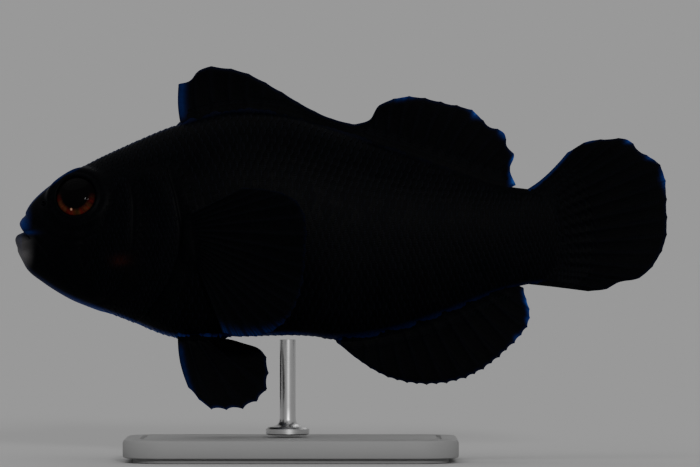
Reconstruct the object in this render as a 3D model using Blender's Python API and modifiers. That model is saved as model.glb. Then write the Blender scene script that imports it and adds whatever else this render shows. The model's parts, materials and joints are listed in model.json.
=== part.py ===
"""An all-black clownfish as a life-size display model, held over a small plate by one rod.

Run with: blender --background --python part.py
Metres, +Z up. The fish looks along -X and its left side faces -Y. The origin lies on the table,
under the middle of the fish's length. Sizes are in millimetres until world() places them:
"along" runs back from the tip of the lower jaw, and "height" is measured from the body's axis.
"""

import math

import bmesh
import bpy
import numpy as np

# Driving sizes, in millimetres
TOTAL_LENGTH = 90.0  # tip of the lower jaw to the end of the tail fin
AXIS_HEIGHT = 31.5  # body axis above the table
GAP = 0.3  # between neighbouring pieces
SMOOTH_DEGREES = 40
RAY_THICKNESS = 1.0  # of a fin, at the foot of a spine or ray
MEMBRANE_SHARE = 0.55  # of that thickness, between the rays
MARGIN_SHARE = 0.62  # of that thickness, at the tip of a ray

# The body: how far behind the upper lip, then the back, the belly and the half width there
LIP_SETBACK = 0.9  # the upper lip's front, without its swell, stands this far behind the lower jaw's
MOUTH_HEIGHT = 0.1
STATIONS = np.array(
    [
        (0.0, MOUTH_HEIGHT, MOUTH_HEIGHT, 0.0),
        (0.1, 1.5, -2.9, 0.9),
        (0.4, 2.6, -4.2, 1.9),
        (3.0, 5.8, -7.0, 3.6),
        (7.5, 8.75, -9.65, 5.0),
        (13.8, 11.8, -12.0, 6.1),
        (21.8, 15.0, -14.75, 6.6),
        (30.0, 16.8, -14.7, 6.5),
        (38.0, 15.9, -14.55, 5.9),
        (44.0, 13.9, -14.75, 5.2),
        (52.0, 11.2, -13.3, 4.1),
        (59.0, 8.75, -10.9, 3.0),
        (66.0, 6.6, -8.2, 1.9),
        (70.0, 6.05, -7.3, 1.3),
    ]
)
WIDEST_SHARE = 0.48  # height of the widest point, as a share of the depth
BACK_POWER = 2.0  # of the superellipse over the widest point
BELLY_POWER = 2.25  # and under it

# The mouth
MOUTH_HALF_WIDTH = 2.7
MOUTH_DROP = 1.1  # from the middle of the mouth to its corners
JAW_REACH = 0.5  # of the lower jaw past the upper lip
LIP_FROM_CLEFT, LIP_BREADTH, LIP_SWELL = 1.1, 0.8, 0.45
CLEFT_BREADTH, CLEFT_DEPTH = 0.35, 0.9
HEAD_DOME = 13.8  # the stretch that is lofted round the mouth

# The eye
EYE_ALONG, EYE_HEIGHT = 8.3, 4.7
EYE_RADIUS, EYE_DEPTH = 2.75, 1.9
EYE_SINK = 1.25  # of its centre under the cheek

# Cuts, as (along, height). Cutters end outside the fish at these places.
FRONT, REAR, TOP, BOTTOM, ASIDE = -6.0, 80.0, 24.0, -20.0, 14.0
GILL_LINE = [
    (21.0, TOP),
    (20.9, 9.0),
    (22.2, 4.0),
    (22.8, 0.0),
    (22.0, -5.0),
    (19.0, -10.0),
    (15.8, -13.5),
    (14.5, BOTTOM),
]
GILL_COVER = [(14.0, -10.6), (15.2, -6.5), (16.0, -2.0), (16.3, 2.0), (17.0, 4.9), (19.2, 6.1), (21.3, 4.9)]
JAW_LINE = [
    (-3.0, 0.1),
    (1.2, -0.1),
    (2.6, -0.9),
    (4.0, -2.4),
    (5.4, -4.6),
    (7.0, -6.8),
    (8.8, -9.0),
    (10.2, -14.0),
]
VENT_ALONG = 44.6
GILL_COVER_CORE = 0.76  # share of the half width that lies under a gill cover

# Fins: curves through (along, height), and how many spines or rays each has
SPINY_DORSAL = {
    "base": (23.0, 46.5),
    "margin": [
        (22.4, 20.3),
        (23.7, 20.9),
        (25.5, 22.35),
        (29.6, 22.4),
        (36.5, 19.2),
        (43.4, 15.65),
        (46.5, 14.9),
    ],
    "rays": 11,
    "notch": 0.05,
}
SOFT_DORSAL = {
    "base": (46.9, 67.3),
    "margin": [
        (46.9, 14.9),
        (48.9, 15.6),
        (49.9, 17.3),
        (52.8, 18.6),
        (59.6, 17.8),
        (63.4, 16.5),
        (65.4, 14.8),
        (67.3, 13.7),
        (69.0, 10.4),
        (68.4, 8.6),
        (68.9, 6.8),
    ],
    "rays": 15,
    "notch": 0.035,
}
ANAL = {
    "base": (44.4, 67.8),
    "margin": [
        (44.6, -15.4),
        (46.4, -17.0),
        (51.9, -20.3),
        (56.0, -21.1),
        (62.0, -19.9),
        (67.2, -16.4),
        (70.9, -11.8),
        (69.8, -7.9),
    ],
    "rays": 14,
    "notch": 0.035,
}
CAUDAL = {
    "base": [(71.2, 5.9), (71.2, -7.1)],
    "margin": [
        (72.8, 7.4),
        (74.6, 9.4),
        (79.3, 12.8),
        (84.8, 12.75),
        (86.1, 11.3),
        (88.6, 9.6),
        (90.0, 3.0),
        (89.4, -1.6),
        (85.5, -6.6),
        (79.9, -8.2),
        (73.4, -7.3),
    ],
    "rays": 17,
    "notch": 0.02,
}
PECTORAL = {
    "base": [(24.2, 2.3), (25.4, -4.4)],
    "turn": [24.0, 10.0, -10.0, -26.0, -39.0, -67.0],  # degrees above the horizontal, top ray to bottom ray
    "length": [9.2, 17.0, 17.8, 17.8, 15.1, 9.5],
    "yaw": 28.0,  # degrees that the fin stands off the flank
    "cup": 0.012,  # outward bend of a ray, per millimetre of its reach
    "rays": 17,
    "notch": 0.025,
}
PELVIC = {
    "base": [(22.9, -15.15), (28.2, -15.05)],
    "margin": [
        (24.1, -21.9),
        (26.6, -24.2),
        (29.8, -24.6),
        (33.6, -23.0),
        (34.9, -19.2),
        (34.2, -16.9),
        (31.4, -15.6),
    ],
    "rays": 6,
    "notch": 0.03,
    "base_aside": 1.5,  # from the middle plane
    "splay": 18.0,  # degrees from upright
}

# The stand
PLATE_ALONG, PLATE_LENGTH, PLATE_WIDTH, PLATE_THICKNESS = 38.0, 46.0, 28.0, 3.2
PLATE_CORNER, PLATE_RIM = 6.0, 0.45
ROD_ALONG, ROD_RADIUS = 37.5, 1.1
FOOT_RADIUS, FOOT_HEIGHT = 3.0, 1.4

BLACK_SKIN = ((0.006, 0.006, 0.008), 0.42, 0.0)
BLACK_FIN = ((0.005, 0.005, 0.009), 0.5, 0.0)
EYE_BLACK = ((0.02, 0.006, 0.003), 0.12, 0.0)
STEEL = ((0.55, 0.56, 0.57), 0.3, 1.0)


def world(along, aside, height):
    """Millimetres on the fish to metres in the scene."""
    points = np.stack(np.broadcast_arrays(along, aside, height), axis=-1).astype(float)
    return (points + (-TOTAL_LENGTH / 2, 0.0, AXIS_HEIGHT)) / 1000


def through(knots, values, at):
    """A smooth curve through values at knots, read at the places in at."""
    knots, values, at = (np.asarray(a, float) for a in (knots, values, at))
    slopes = np.gradient(values, knots, axis=0)
    low = np.clip(np.searchsorted(knots, at) - 1, 0, len(knots) - 2)
    span = (knots[low + 1] - knots[low]).reshape(at.shape + (1,) * (values.ndim - 1))
    s = (at - knots[low]).reshape(span.shape) / span
    return (
        values[low] * (1 + 2 * s) * (1 - s) ** 2
        + slopes[low] * span * s * (1 - s) ** 2
        + values[low + 1] * s * s * (3 - 2 * s)
        + slopes[low + 1] * span * s * s * (s - 1)
    )


def outline(points, count):
    """count points, evenly spread along a smooth curve through the given ones."""
    points = np.array(points, float)
    chord = np.concatenate([[0], np.cumsum(np.linalg.norm(np.diff(points, axis=0), axis=1))])
    return through(chord, points, np.linspace(0, chord[-1], count))


def profile(distance):
    """(back, belly, half width) at a distance behind the upper lip. The root gives a blunt snout."""
    root = np.sqrt(np.clip(distance, 0, STATIONS[-1, 0]))
    back, belly, width = np.moveaxis(through(np.sqrt(STATIONS[:, 0]), STATIONS[:, 1:], root), -1, 0)
    return back, belly, np.maximum(width, 0)


def section(distance, angle):
    """(aside, height) on the body's section. The angle is 0 on the back and half a turn on the belly."""
    rise, side = np.cos(angle), np.sin(angle)
    width, middle, reach, power = half_section(distance, rise > 0)
    aside = width * np.sign(side) * np.abs(side) ** (2 / power)
    return aside, middle + reach * np.sign(rise) * np.abs(rise) ** (2 / power)


def half_section(distance, upper):
    """(half width, height of the widest point, reach to the back or the belly, power) of half a section."""
    back, belly, width = profile(distance)
    middle = belly + WIDEST_SHARE * (back - belly)
    reach = np.where(upper, back - middle, middle - belly)
    return width, middle, reach, np.where(upper, BACK_POWER, BELLY_POWER)


def flank(along, height):
    """The body's half width at a place seen from the side."""
    distance = np.asarray(along, float) - LIP_SETBACK
    above = height > half_section(distance, True)[1]
    width, middle, reach, power = half_section(distance, above)
    return width * (1 - np.clip(np.abs(height - middle) / reach, 0, 1) ** power) ** (1 / power)


def distance_of(aside, height):
    """How far behind the upper lip the head's surface lies, seen from the front: found by halving."""
    near, far = np.zeros(np.shape(aside)), np.full(np.shape(aside), HEAD_DOME + 1)
    for _ in range(40):
        between = (near + far) / 2
        outside = np.abs(aside) >= flank(between + LIP_SETBACK, height)
        near, far = np.where(outside, between, near), np.where(outside, far, between)
    return far


def head_rings(angles, steps_from_mouth, more):
    """Rings round the mouth: some at set steps from the cleft, and more spread back to the dome's end."""
    share = np.linspace(0, 1, 90)[:, None]
    rim_aside, rim_height = section(HEAD_DOME, angles)
    mouth_aside = MOUTH_HALF_WIDTH * np.sin(angles)
    mouth_height = MOUTH_HEIGHT - MOUTH_DROP * np.abs(np.sin(angles)) ** 1.5
    aside = (1 - share) * mouth_aside + share * rim_aside
    height = (1 - share) * mouth_height + share * rim_height
    under = np.clip(-np.cos(angles), 0, 1) ** 0.7
    along = distance_of(aside, height) + LIP_SETBACK - JAW_REACH * under * np.exp(-((share / 0.45) ** 2))
    lines = np.stack([along, aside, height], axis=-1)
    length = np.cumsum(np.linalg.norm(np.diff(lines, axis=0, prepend=lines[:1]), axis=2), axis=0)
    rings = np.empty((len(steps_from_mouth) + more, len(angles), 3))
    for column in range(len(angles)):
        rest = np.linspace(steps_from_mouth[-1], length[-1, column], more + 1)[1:]
        stops = np.concatenate([steps_from_mouth, rest])
        for axis in range(3):
            rings[:, column, axis] = np.interp(stops, length[:, column], lines[:, column, axis])
        front = 1 - np.clip((rings[:, column, 0] - 3) / 3, 0, 1)
        lip = LIP_SWELL * np.exp(-(((stops - LIP_FROM_CLEFT) / LIP_BREADTH) ** 2))
        cleft = CLEFT_DEPTH * np.exp(-((stops / CLEFT_BREADTH) ** 2))
        rings[:, column, 0] += front * (cleft - lip)
    return rings


def material(name, finish):
    colour, roughness, metallic = finish
    made = bpy.data.materials.new(name)
    made.use_nodes = True
    shader = made.node_tree.nodes["Principled BSDF"]
    shader.inputs["Base Color"].default_value = (*colour, 1)
    shader.inputs["Roughness"].default_value = roughness
    shader.inputs["Metallic"].default_value = metallic
    return made


def add_object(name, mesh, collection, finish=None):
    made = bpy.data.objects.new(name, mesh)
    collection.objects.link(made)
    if finish:
        mesh.materials.append(material(name, finish))
    return made


def mesh_of(name, bm):
    bm.normal_update()
    bmesh.ops.recalc_face_normals(bm, faces=bm.faces)
    mesh = bpy.data.meshes.new(name)
    bm.to_mesh(mesh)
    bm.free()
    mesh.shade_smooth()
    mesh.set_sharp_from_angle(angle=math.radians(SMOOTH_DEGREES))
    return mesh


def lofted(name, rings):
    """A closed solid from rings of equal count. The first folds shut across the mouth, the last is a face."""
    bm = bmesh.new()
    count = rings.shape[1]
    verts = [[bm.verts.new(point) for point in ring] for ring in rings]
    for front, rear in zip(verts, verts[1:]):
        for i in range(count):
            j = (i + 1) % count
            bm.faces.new((front[i], front[j], rear[j], rear[i]))
    mouth, half = verts[0], count // 2
    for i in range(-count // 4, count // 4):
        corners = (mouth[i], mouth[i + 1], mouth[half - i - 1], mouth[half - i])
        bm.faces.new(list(dict.fromkeys(corners)))
    bm.faces.new(verts[-1])
    return mesh_of(name, bm)


def body_mesh(name, width_share=1.0, around=40):
    """The whole body without fins."""
    angles = np.arange(around) * math.tau / around
    head = head_rings(angles, [0.0, 0.3, 0.7, 1.2, 1.8, 2.6], 7)
    rings = []
    for distance in np.linspace(HEAD_DOME, STATIONS[-1, 0], 24)[1:]:
        aside, height = section(distance, angles)
        rings.append(np.stack([np.full(around, distance + LIP_SETBACK), aside, height], axis=-1))
    rings = np.concatenate([head, rings])
    return lofted(name, world(rings[..., 0], rings[..., 1] * width_share, rings[..., 2]))


def prism(name, points, collection, aside=(-ASIDE, ASIDE)):
    """A cutter: a side view's outline carried across the fish."""
    bm = bmesh.new()
    corners = [bm.verts.new(world(along, aside[0], height)) for along, height in points]
    face = bm.faces.new(corners)
    grown = bmesh.ops.extrude_face_region(bm, geom=[face])
    moved = [v for v in grown["geom"] if isinstance(v, bmesh.types.BMVert)]
    bmesh.ops.translate(bm, verts=moved, vec=(0, (aside[1] - aside[0]) / 1000, 0))
    made = add_object(name, mesh_of(name, bm), collection)
    hide_cutter(made)
    return made


def hide_cutter(made):
    made.hide_render = True
    made.display_type = "WIRE"


def cut(obj, cutter, operation):
    modifier = obj.modifiers.new(f"{operation.lower()} {cutter.name}", "BOOLEAN")
    modifier.object = cutter
    modifier.operation = operation
    modifier.solver = "EXACT"


def jaw_outline(grow):
    """The lower jaw's side view, grown past the cut by a distance."""
    line = np.array(JAW_LINE)
    across = np.gradient(line, axis=0)[:, ::-1] * (1, -1)
    across /= np.linalg.norm(across, axis=1)[:, None]
    line = outline(line - across * grow, 18)
    return [*line, (line[-1, 0], BOTTOM), (line[0, 0], BOTTOM)]


def gill_cover_outline(grow, rear_reach):
    """The gill cover's side view: its front and top, then its rear, which follows the gill line."""
    foot = np.array(GILL_COVER[0]) + (-grow, -1.5 * grow)
    front = outline(GILL_COVER, 14)[1:] + (-grow, grow)
    rear = outline(GILL_LINE, 60) + (rear_reach, 0)
    rear = rear[(rear[:, 1] < front[-1, 1]) & (rear[:, 1] > foot[1] - 1.2)]
    return [foot, *front, *rear]


def body_pieces(parts, cutters):
    """Head, lower jaw, gill covers, trunk and tail stalk: one body, parted by thin cuts."""
    half = GAP / 2
    gill = outline(GILL_LINE, 30)
    vent = VENT_ALONG - half
    cut_head = prism("cut_head", [*(gill - (half, 0)), (FRONT, BOTTOM), (FRONT, TOP)], cutters)
    cut_trunk = prism("cut_trunk", [*(gill + (half, 0)), (vent, BOTTOM), (vent, TOP)], cutters)
    vent = VENT_ALONG + half
    cut_stalk = prism("cut_stalk", [(vent, TOP), (vent, BOTTOM), (REAR, BOTTOM), (REAR, TOP)], cutters)

    head = body_piece("head", cut_head, parts)
    cut(head, prism("cut_mouth", jaw_outline(half), cutters), "DIFFERENCE")
    body_piece("lower_jaw", prism("cut_jaw", jaw_outline(-half), cutters), parts)
    body_piece("trunk", cut_trunk, parts)
    body_piece("tail_stalk", cut_stalk, parts)

    core = add_object("cut_core", body_mesh("cut_core", GILL_COVER_CORE), cutters)
    cover_core = add_object("cut_cover_core", body_mesh("cut_cover_core", GILL_COVER_CORE + 0.05), cutters)
    hide_cutter(core)
    hide_cutter(cover_core)
    for side, sign in (("left", -1), ("right", 1)):
        beside = (sign * 0.4, sign * ASIDE)
        slot = prism(f"cut_gill_slot_{side}", gill_cover_outline(GAP, 3.0), cutters, beside)
        cut(slot, core, "DIFFERENCE")
        cut(head, slot, "DIFFERENCE")
        cut_cover = prism(f"cut_cover_{side}", gill_cover_outline(0.0, -half), cutters, beside)
        cover = body_piece(f"gill_cover_{side}", cut_cover, parts)
        cut(cover, cover_core, "DIFFERENCE")
        eye(side, sign, head, parts, cutters)


def body_piece(name, within, collection):
    """The part of the body inside one cutter."""
    piece = add_object(name, body_mesh(name), collection, BLACK_SKIN)
    cut(piece, within, "INTERSECT")
    return piece


def eyeball(name, sign, grow, collection, finish=None):
    """A flattened sphere, half sunk in the cheek. Its poles point aside."""
    bm = bmesh.new()
    bmesh.ops.create_uvsphere(bm, u_segments=20, v_segments=10, radius=1)
    centre = world(EYE_ALONG, sign * (flank(EYE_ALONG, EYE_HEIGHT) - EYE_SINK), EYE_HEIGHT)
    radii = (np.array([EYE_RADIUS, EYE_RADIUS, EYE_DEPTH]) + grow) / 1000
    for v in bm.verts:
        v.co = (v.co.x * radii[0], v.co.z * radii[2], v.co.y * radii[1])
    made = add_object(name, mesh_of(name, bm), collection, finish)
    made.location = centre
    return made


def eye(side, sign, head, parts, cutters):
    """An eyeball in a socket that is larger by the gap."""
    eyeball(f"eye_{side}", sign, 0, parts, EYE_BLACK)
    socket = eyeball(f"cut_socket_{side}", sign, GAP, cutters)
    hide_cutter(socket)
    cut(head, socket, "DIFFERENCE")


def fin_grid(base, tips, notch, rows=3):
    """Points from base to margin. Columns alternate between rays and membrane, whose edge falls short."""
    columns = len(base)
    shortfall = notch * (np.arange(columns) % 2)
    share = np.linspace(0, 1, rows)[:, None] * (1 - shortfall)
    return base[None] + (tips - base)[None] * share[..., None]


def fin_object(name, points, collection):
    """A sheet of points, thickened evenly to both sides: most at the foot of each ray, less between rays."""
    rows, columns = points.shape[:2]
    bm = bmesh.new()
    verts = [[bm.verts.new(point) for point in row] for row in points]
    for r in range(rows - 1):
        for c in range(columns - 1):
            bm.faces.new((verts[r][c], verts[r][c + 1], verts[r + 1][c + 1], verts[r + 1][c]))
    made = add_object(name, mesh_of(name, bm), collection, BLACK_FIN)
    full = made.vertex_groups.new(name="ray thickness")
    for row in range(rows):
        ray = 1 + (MARGIN_SHARE - 1) * row / (rows - 1)
        for column in range(columns):
            full.add([row * columns + column], MEMBRANE_SHARE if column % 2 else ray, "REPLACE")
    shell = made.modifiers.new("thickness", "SOLIDIFY")
    shell.thickness = RAY_THICKNESS / 1000
    shell.offset = 0
    shell.vertex_group = full.name
    return made


def median_fin(name, fin, base, collection):
    """A fin in the fish's middle plane, between a base line and its margin."""
    columns = 2 * fin["rays"] - 1
    tips = outline(fin["margin"], columns)
    points = fin_grid(base(columns), tips, fin["notch"])
    return fin_object(name, world(points[..., 0], 0, points[..., 1]), collection)


def along_body(fin, edge):
    """A base line that follows the back (edge 0) or the belly (edge 1), clear of it by the gap."""

    def base(columns):
        along = np.linspace(*fin["base"], columns)
        height = profile(along - LIP_SETBACK)[edge] + (GAP if edge == 0 else -GAP)
        return np.stack([along, height], axis=-1)

    return base


def pectoral_fin(side, sign, collection):
    """A cupped fan that stands off the flank behind the gill cover."""
    columns = 2 * PECTORAL["rays"] - 1
    place = np.linspace(0, 1, columns)
    knots = np.linspace(0, 1, len(PECTORAL["turn"]))
    turn = np.radians(through(knots, PECTORAL["turn"], place))
    length = through(knots, PECTORAL["length"], place) * (1 - PECTORAL["notch"] * (np.arange(columns) % 2))
    base = outline(PECTORAL["base"], columns)
    aside = flank(base[:, 0], base[:, 1]) + GAP + RAY_THICKNESS / 2
    yaw = math.radians(PECTORAL["yaw"])
    reach = np.linspace(0, 1, 4)[:, None] * length
    back = reach * np.cos(turn)
    along = base[:, 0] + back * math.cos(yaw)
    out = aside + back * math.sin(yaw) + PECTORAL["cup"] * reach**2 * np.sin(turn) ** 2
    height = base[:, 1] + reach * np.sin(turn)
    return fin_object(f"pectoral_fin_{side}", world(along, sign * out, height), collection)


def pelvic_fin(side, sign, collection):
    """A paddle under the belly, splayed outwards."""
    columns = 2 * PELVIC["rays"] - 1
    points = fin_grid(outline(PELVIC["base"], columns), outline(PELVIC["margin"], columns), PELVIC["notch"])
    drop = PELVIC["base"][0][1] - points[..., 1]
    out = PELVIC["base_aside"] + np.clip(drop, 0, None) * math.tan(math.radians(PELVIC["splay"]))
    return fin_object(f"pelvic_fin_{side}", world(points[..., 0], sign * out, points[..., 1]), collection)


def stand(collection):
    """A plate with rounded corners, and a turned rod with a foot."""
    bm = bmesh.new()
    bmesh.ops.create_cube(bm, size=1)
    size = (PLATE_LENGTH / 1000, PLATE_WIDTH / 1000, PLATE_THICKNESS / 1000)
    bmesh.ops.scale(bm, vec=size, verts=bm.verts)
    upright = [e for e in bm.edges if abs(e.verts[0].co.z - e.verts[1].co.z) > size[2] / 2]
    bmesh.ops.bevel(bm, geom=upright, offset=PLATE_CORNER / 1000, segments=6, profile=0.5, affect="EDGES")
    plate = add_object("stand_plate", mesh_of("stand_plate", bm), collection, STEEL)
    plate.location = ((PLATE_ALONG - TOTAL_LENGTH / 2) / 1000, 0, size[2] / 2)
    rim = plate.modifiers.new("rim", "BEVEL")
    rim.width = PLATE_RIM / 1000
    rim.segments = 2
    rim.limit_method = "ANGLE"

    top = AXIS_HEIGHT + profile(ROD_ALONG - LIP_SETBACK)[1] - GAP
    foot = PLATE_THICKNESS + GAP
    turned = [
        (0, top),
        (ROD_RADIUS - 0.2, top),
        (ROD_RADIUS, top - 0.2),
        (ROD_RADIUS, foot + FOOT_HEIGHT + 0.4),
        (ROD_RADIUS + 0.4, foot + FOOT_HEIGHT),
        (FOOT_RADIUS - 0.3, foot + FOOT_HEIGHT),
        (FOOT_RADIUS, foot + FOOT_HEIGHT - 0.3),
        (FOOT_RADIUS, foot),
        (0, foot),
    ]
    mesh = bpy.data.meshes.new("stand_rod")
    points = [(radius / 1000, 0, float(height) / 1000) for radius, height in turned]
    mesh.from_pydata(points, [(i, i + 1) for i in range(len(points) - 1)], [])
    rod = add_object("stand_rod", mesh, collection, STEEL)
    rod.location.x = (ROD_ALONG - TOTAL_LENGTH / 2) / 1000
    spin = rod.modifiers.new("turn", "SCREW")
    spin.steps = spin.render_steps = 24
    spin.use_merge_vertices = True
    spin.merge_threshold = 0.00001
    spin.use_smooth_shade = True


def main():
    for old in list(bpy.data.objects):
        bpy.data.objects.remove(old)
    parts = bpy.data.collections.new("clownfish")
    cutters = bpy.data.collections.new("cutters")
    for collection in (parts, cutters):
        bpy.context.scene.collection.children.link(collection)
    body_pieces(parts, cutters)
    median_fin("dorsal_fin_spiny", SPINY_DORSAL, along_body(SPINY_DORSAL, 0), parts)
    median_fin("dorsal_fin_soft", SOFT_DORSAL, along_body(SOFT_DORSAL, 0), parts)
    median_fin("anal_fin", ANAL, along_body(ANAL, 1), parts)
    median_fin("caudal_fin", CAUDAL, lambda columns: outline(CAUDAL["base"], columns), parts)
    for side, sign in (("left", -1), ("right", 1)):
        pectoral_fin(side, sign, parts)
        pelvic_fin(side, sign, parts)
    stand(parts)


main()
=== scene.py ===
"""An all-black clownfish, life size, held over a small plate by one rod.

Metres, +Z up. The fish looks along -X and its left side faces -Y. Sizes are in millimetres until world()
places them: "along" runs back from the tip of the lower jaw, "aside" is positive on the fish's right, and
"height" is measured from the body's axis.
"""

import json
import math

import bmesh
import bpy
import numpy as np
from bpy.props import FloatProperty, FloatVectorProperty, PointerProperty
from mathutils import Matrix, Vector
from mathutils.bvhtree import BVHTree

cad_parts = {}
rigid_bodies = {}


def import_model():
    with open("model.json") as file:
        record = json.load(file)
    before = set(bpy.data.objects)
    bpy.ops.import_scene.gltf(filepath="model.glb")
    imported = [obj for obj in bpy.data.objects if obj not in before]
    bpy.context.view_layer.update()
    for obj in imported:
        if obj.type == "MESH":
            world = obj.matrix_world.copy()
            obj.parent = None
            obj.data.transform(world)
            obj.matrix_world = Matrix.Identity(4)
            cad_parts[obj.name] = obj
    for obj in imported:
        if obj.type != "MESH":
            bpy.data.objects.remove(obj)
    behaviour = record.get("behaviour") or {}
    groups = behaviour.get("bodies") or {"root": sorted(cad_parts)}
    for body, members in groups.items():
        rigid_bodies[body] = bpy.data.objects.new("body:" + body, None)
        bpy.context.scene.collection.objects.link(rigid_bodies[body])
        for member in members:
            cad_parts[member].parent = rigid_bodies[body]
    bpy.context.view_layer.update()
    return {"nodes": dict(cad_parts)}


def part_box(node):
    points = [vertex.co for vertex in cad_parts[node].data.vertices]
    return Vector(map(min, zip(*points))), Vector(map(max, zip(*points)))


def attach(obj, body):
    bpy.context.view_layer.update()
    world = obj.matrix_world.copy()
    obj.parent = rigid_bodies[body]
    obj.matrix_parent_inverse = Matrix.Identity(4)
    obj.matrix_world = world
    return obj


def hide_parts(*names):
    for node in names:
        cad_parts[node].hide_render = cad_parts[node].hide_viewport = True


bl_info = {
    "name": "Black clownfish",
    "version": (1, 0, 0),
    "blender": (4, 5, 0),
    "location": "3D View > Sidebar > Clownfish",
    "description": "Skin, scales, fins, eyes and stand of a life-size clownfish model",
    "category": "Add Mesh",
}

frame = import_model()

MM = 0.001
TOTAL_LENGTH = 90.0
AXIS_HEIGHT = 31.5
SIDES = (("left", -1), ("right", 1))

# The body, as in the solids: how far behind the upper lip, then the back, the belly and the half width there
LIP_SETBACK = 0.9
MOUTH_HEIGHT = 0.1
STATIONS = np.array(
    [
        (0.0, MOUTH_HEIGHT, MOUTH_HEIGHT, 0.0),
        (0.1, 1.5, -2.9, 0.9),
        (0.4, 2.6, -4.2, 1.9),
        (3.0, 5.8, -7.0, 3.6),
        (7.5, 8.75, -9.65, 5.0),
        (13.8, 11.8, -12.0, 6.1),
        (21.8, 15.0, -14.75, 6.6),
        (30.0, 16.8, -14.5, 6.5),
        (38.0, 15.9, -14.35, 5.9),
        (44.0, 13.9, -14.65, 5.2),
        (52.0, 11.2, -13.3, 4.1),
        (59.0, 8.75, -10.9, 3.0),
        (66.0, 6.6, -8.2, 1.9),
        (70.0, 6.05, -7.3, 1.3),
    ]
)
WIDEST_SHARE = 0.48
BACK_POWER, BELLY_POWER = 2.0, 2.25
HEAD_DOME = 13.8
MOUTH_HALF_WIDTH, MOUTH_DROP = 2.7, 1.1
JAW_REACH = 0.5
LIP_FROM_CLEFT, LIP_BREADTH, LIP_SWELL = 1.1, 0.8, 0.45
CLEFT_BREADTH, CLEFT_DEPTH = 0.35, 0.9
VENT_ALONG = 43.2

# The tail stalk is thinned to an edge: where and over what length, how full it stays, its middle and its drop
BODY_END, TAIL_WEDGE = 70.9, 4.6
WEDGE_FULLNESS, WEDGE_MIDDLE, WEDGE_LOWERING = 1.6, -0.6, 0.12

# Edges of plates and folds on the head, in side view
GILL_LINE = [
    (21.0, 24.0), (20.9, 9.0), (22.2, 4.0), (22.8, 0.0),
    (22.0, -5.0), (19.0, -10.0), (15.8, -13.5), (14.5, -20.0),
]
CHEEK_PLATE = [(15.2, 8.0), (15.9, 5.0), (16.0, 1.0), (15.6, -3.5), (14.8, -6.8), (13.0, -9.0), (10.2, -9.9)]
EYE_PLATE = [(3.0, 2.4), (4.0, 0.9), (5.4, -0.3), (7.6, -0.9), (10.0, -0.5), (11.8, 1.0), (12.6, 3.4)]
JAW_FOLD = [(2.7, -0.7), (4.0, -2.3), (5.4, -4.4), (7.0, -6.6), (8.8, -8.6)]

# The gill cover's edge: how far behind the gill line, how high the skin stands, and how far it is drawn back
FLAP = np.array(
    [
        (-0.60, 0.40, 0.00),
        (-0.38, 0.41, 0.02),
        (-0.20, 0.40, 0.06),
        (-0.08, 0.35, 0.12),
        (0.00, 0.24, 0.16),
        (0.06, 0.06, 0.02),
        (0.14, -0.12, -0.16),
        (0.28, -0.20, -0.12),
        (0.50, -0.15, 0.00),
        (0.95, -0.05, 0.00),
        (1.60, 0.00, 0.00),
    ]
)

# The eyes, and the lids and the nostrils' rims as (radius, rise) round their axes
EYE_ALONG, EYE_HEIGHT = 8.5, 4.9
EYE_FORWARD, EYE_UP = math.radians(13), math.radians(15)
EYE_RADIUS, EYE_DEPTH, EYE_SINK = 3.23, 1.97, 1.15
EYE_RIM, EYE_STAND_OUT = 2.76, 0.22
EYE_COLUMNS = 96
# The eyeball's rings as angles from its axis, closer together in front
EYE_TILTS = np.concatenate([np.linspace(0.03, 1.35, 64), np.linspace(1.42, math.pi - 0.12, 18)])
EYELID = [
    (3.38, -1.3), (3.47, -0.16), (3.43, -0.06), (3.28, 0.03), (3.13, 0.09),
    (3.0, 0.11), (2.87, 0.07), (2.77, -0.03), (2.73, -0.13), (2.72, -0.6),
]
NOSTRIL = (4.0, 4.1)
NOSTRIL_RIM = [
    (0.5, -0.4), (0.46, 0.0), (0.38, 0.09), (0.29, 0.12), (0.21, 0.07), (0.17, -0.06), (0.16, -0.4),
]
NOSTRIL_COLUMNS = 24

# The fins, as in the solids: how many spines or rays each has, and places on its foot and on its margin
SPINES, SOFT_RAYS = 11, 15
DORSAL_RAYS = SPINES + SOFT_RAYS
ANAL_SPINES, ANAL_RAYS = 2, 14
CAUDAL_RAYS, PECTORAL_RAYS, PELVIC_RAYS = 17, 17, 6
DORSAL_FEET = [(0, 23.0), (SPINES - 1, 45.4), (SPINES, 46.8), (DORSAL_RAYS - 1, 67.3)]
SPINY_MARGIN = [
    (22.65, 20.5), (24.0, 21.0), (25.4, 22.5), (29.8, 22.55),
    (36.6, 19.4), (39.2, 17.8), (43.4, 15.75), (46.5, 14.9),
]
SOFT_MARGIN = [
    (46.9, 14.9), (48.9, 15.6), (49.9, 17.3), (52.8, 18.6), (59.6, 17.8), (63.3, 16.7),
    (65.3, 14.7), (67.5, 13.7), (67.8, 12.0), (68.8, 10.6), (68.2, 8.8), (68.9, 6.7),
]
ANAL_BASE = (44.4, 67.8)
ANAL_MARGIN = [
    (44.6, -15.4), (46.4, -17.0), (51.9, -20.3), (56.0, -21.1),
    (62.2, -20.2), (67.4, -16.7), (71.0, -11.9), (70.1, -7.9),
]
CAUDAL_BASE = [(69.6, 5.3), (69.6, -6.8)]
CAUDAL_MARGIN = [
    (76.3, 11.1), (78.9, 12.55), (81.6, 12.85), (84.6, 12.75), (86.0, 11.3), (88.6, 9.7),
    (89.9, 3.0), (89.6, -1.6), (85.7, -6.5), (83.4, -6.9), (81.4, -7.9), (79.2, -8.15),
]
PECTORAL_BASE = [(24.2, 2.3), (25.4, -4.4)]
PECTORAL_TURN = [24.0, 10.0, -10.0, -26.0, -40.0, -67.0]
PECTORAL_LENGTH = [9.2, 17.0, 17.8, 17.8, 16.0, 10.2]
PECTORAL_YAW, PECTORAL_CUP = math.radians(28), 0.012
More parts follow.
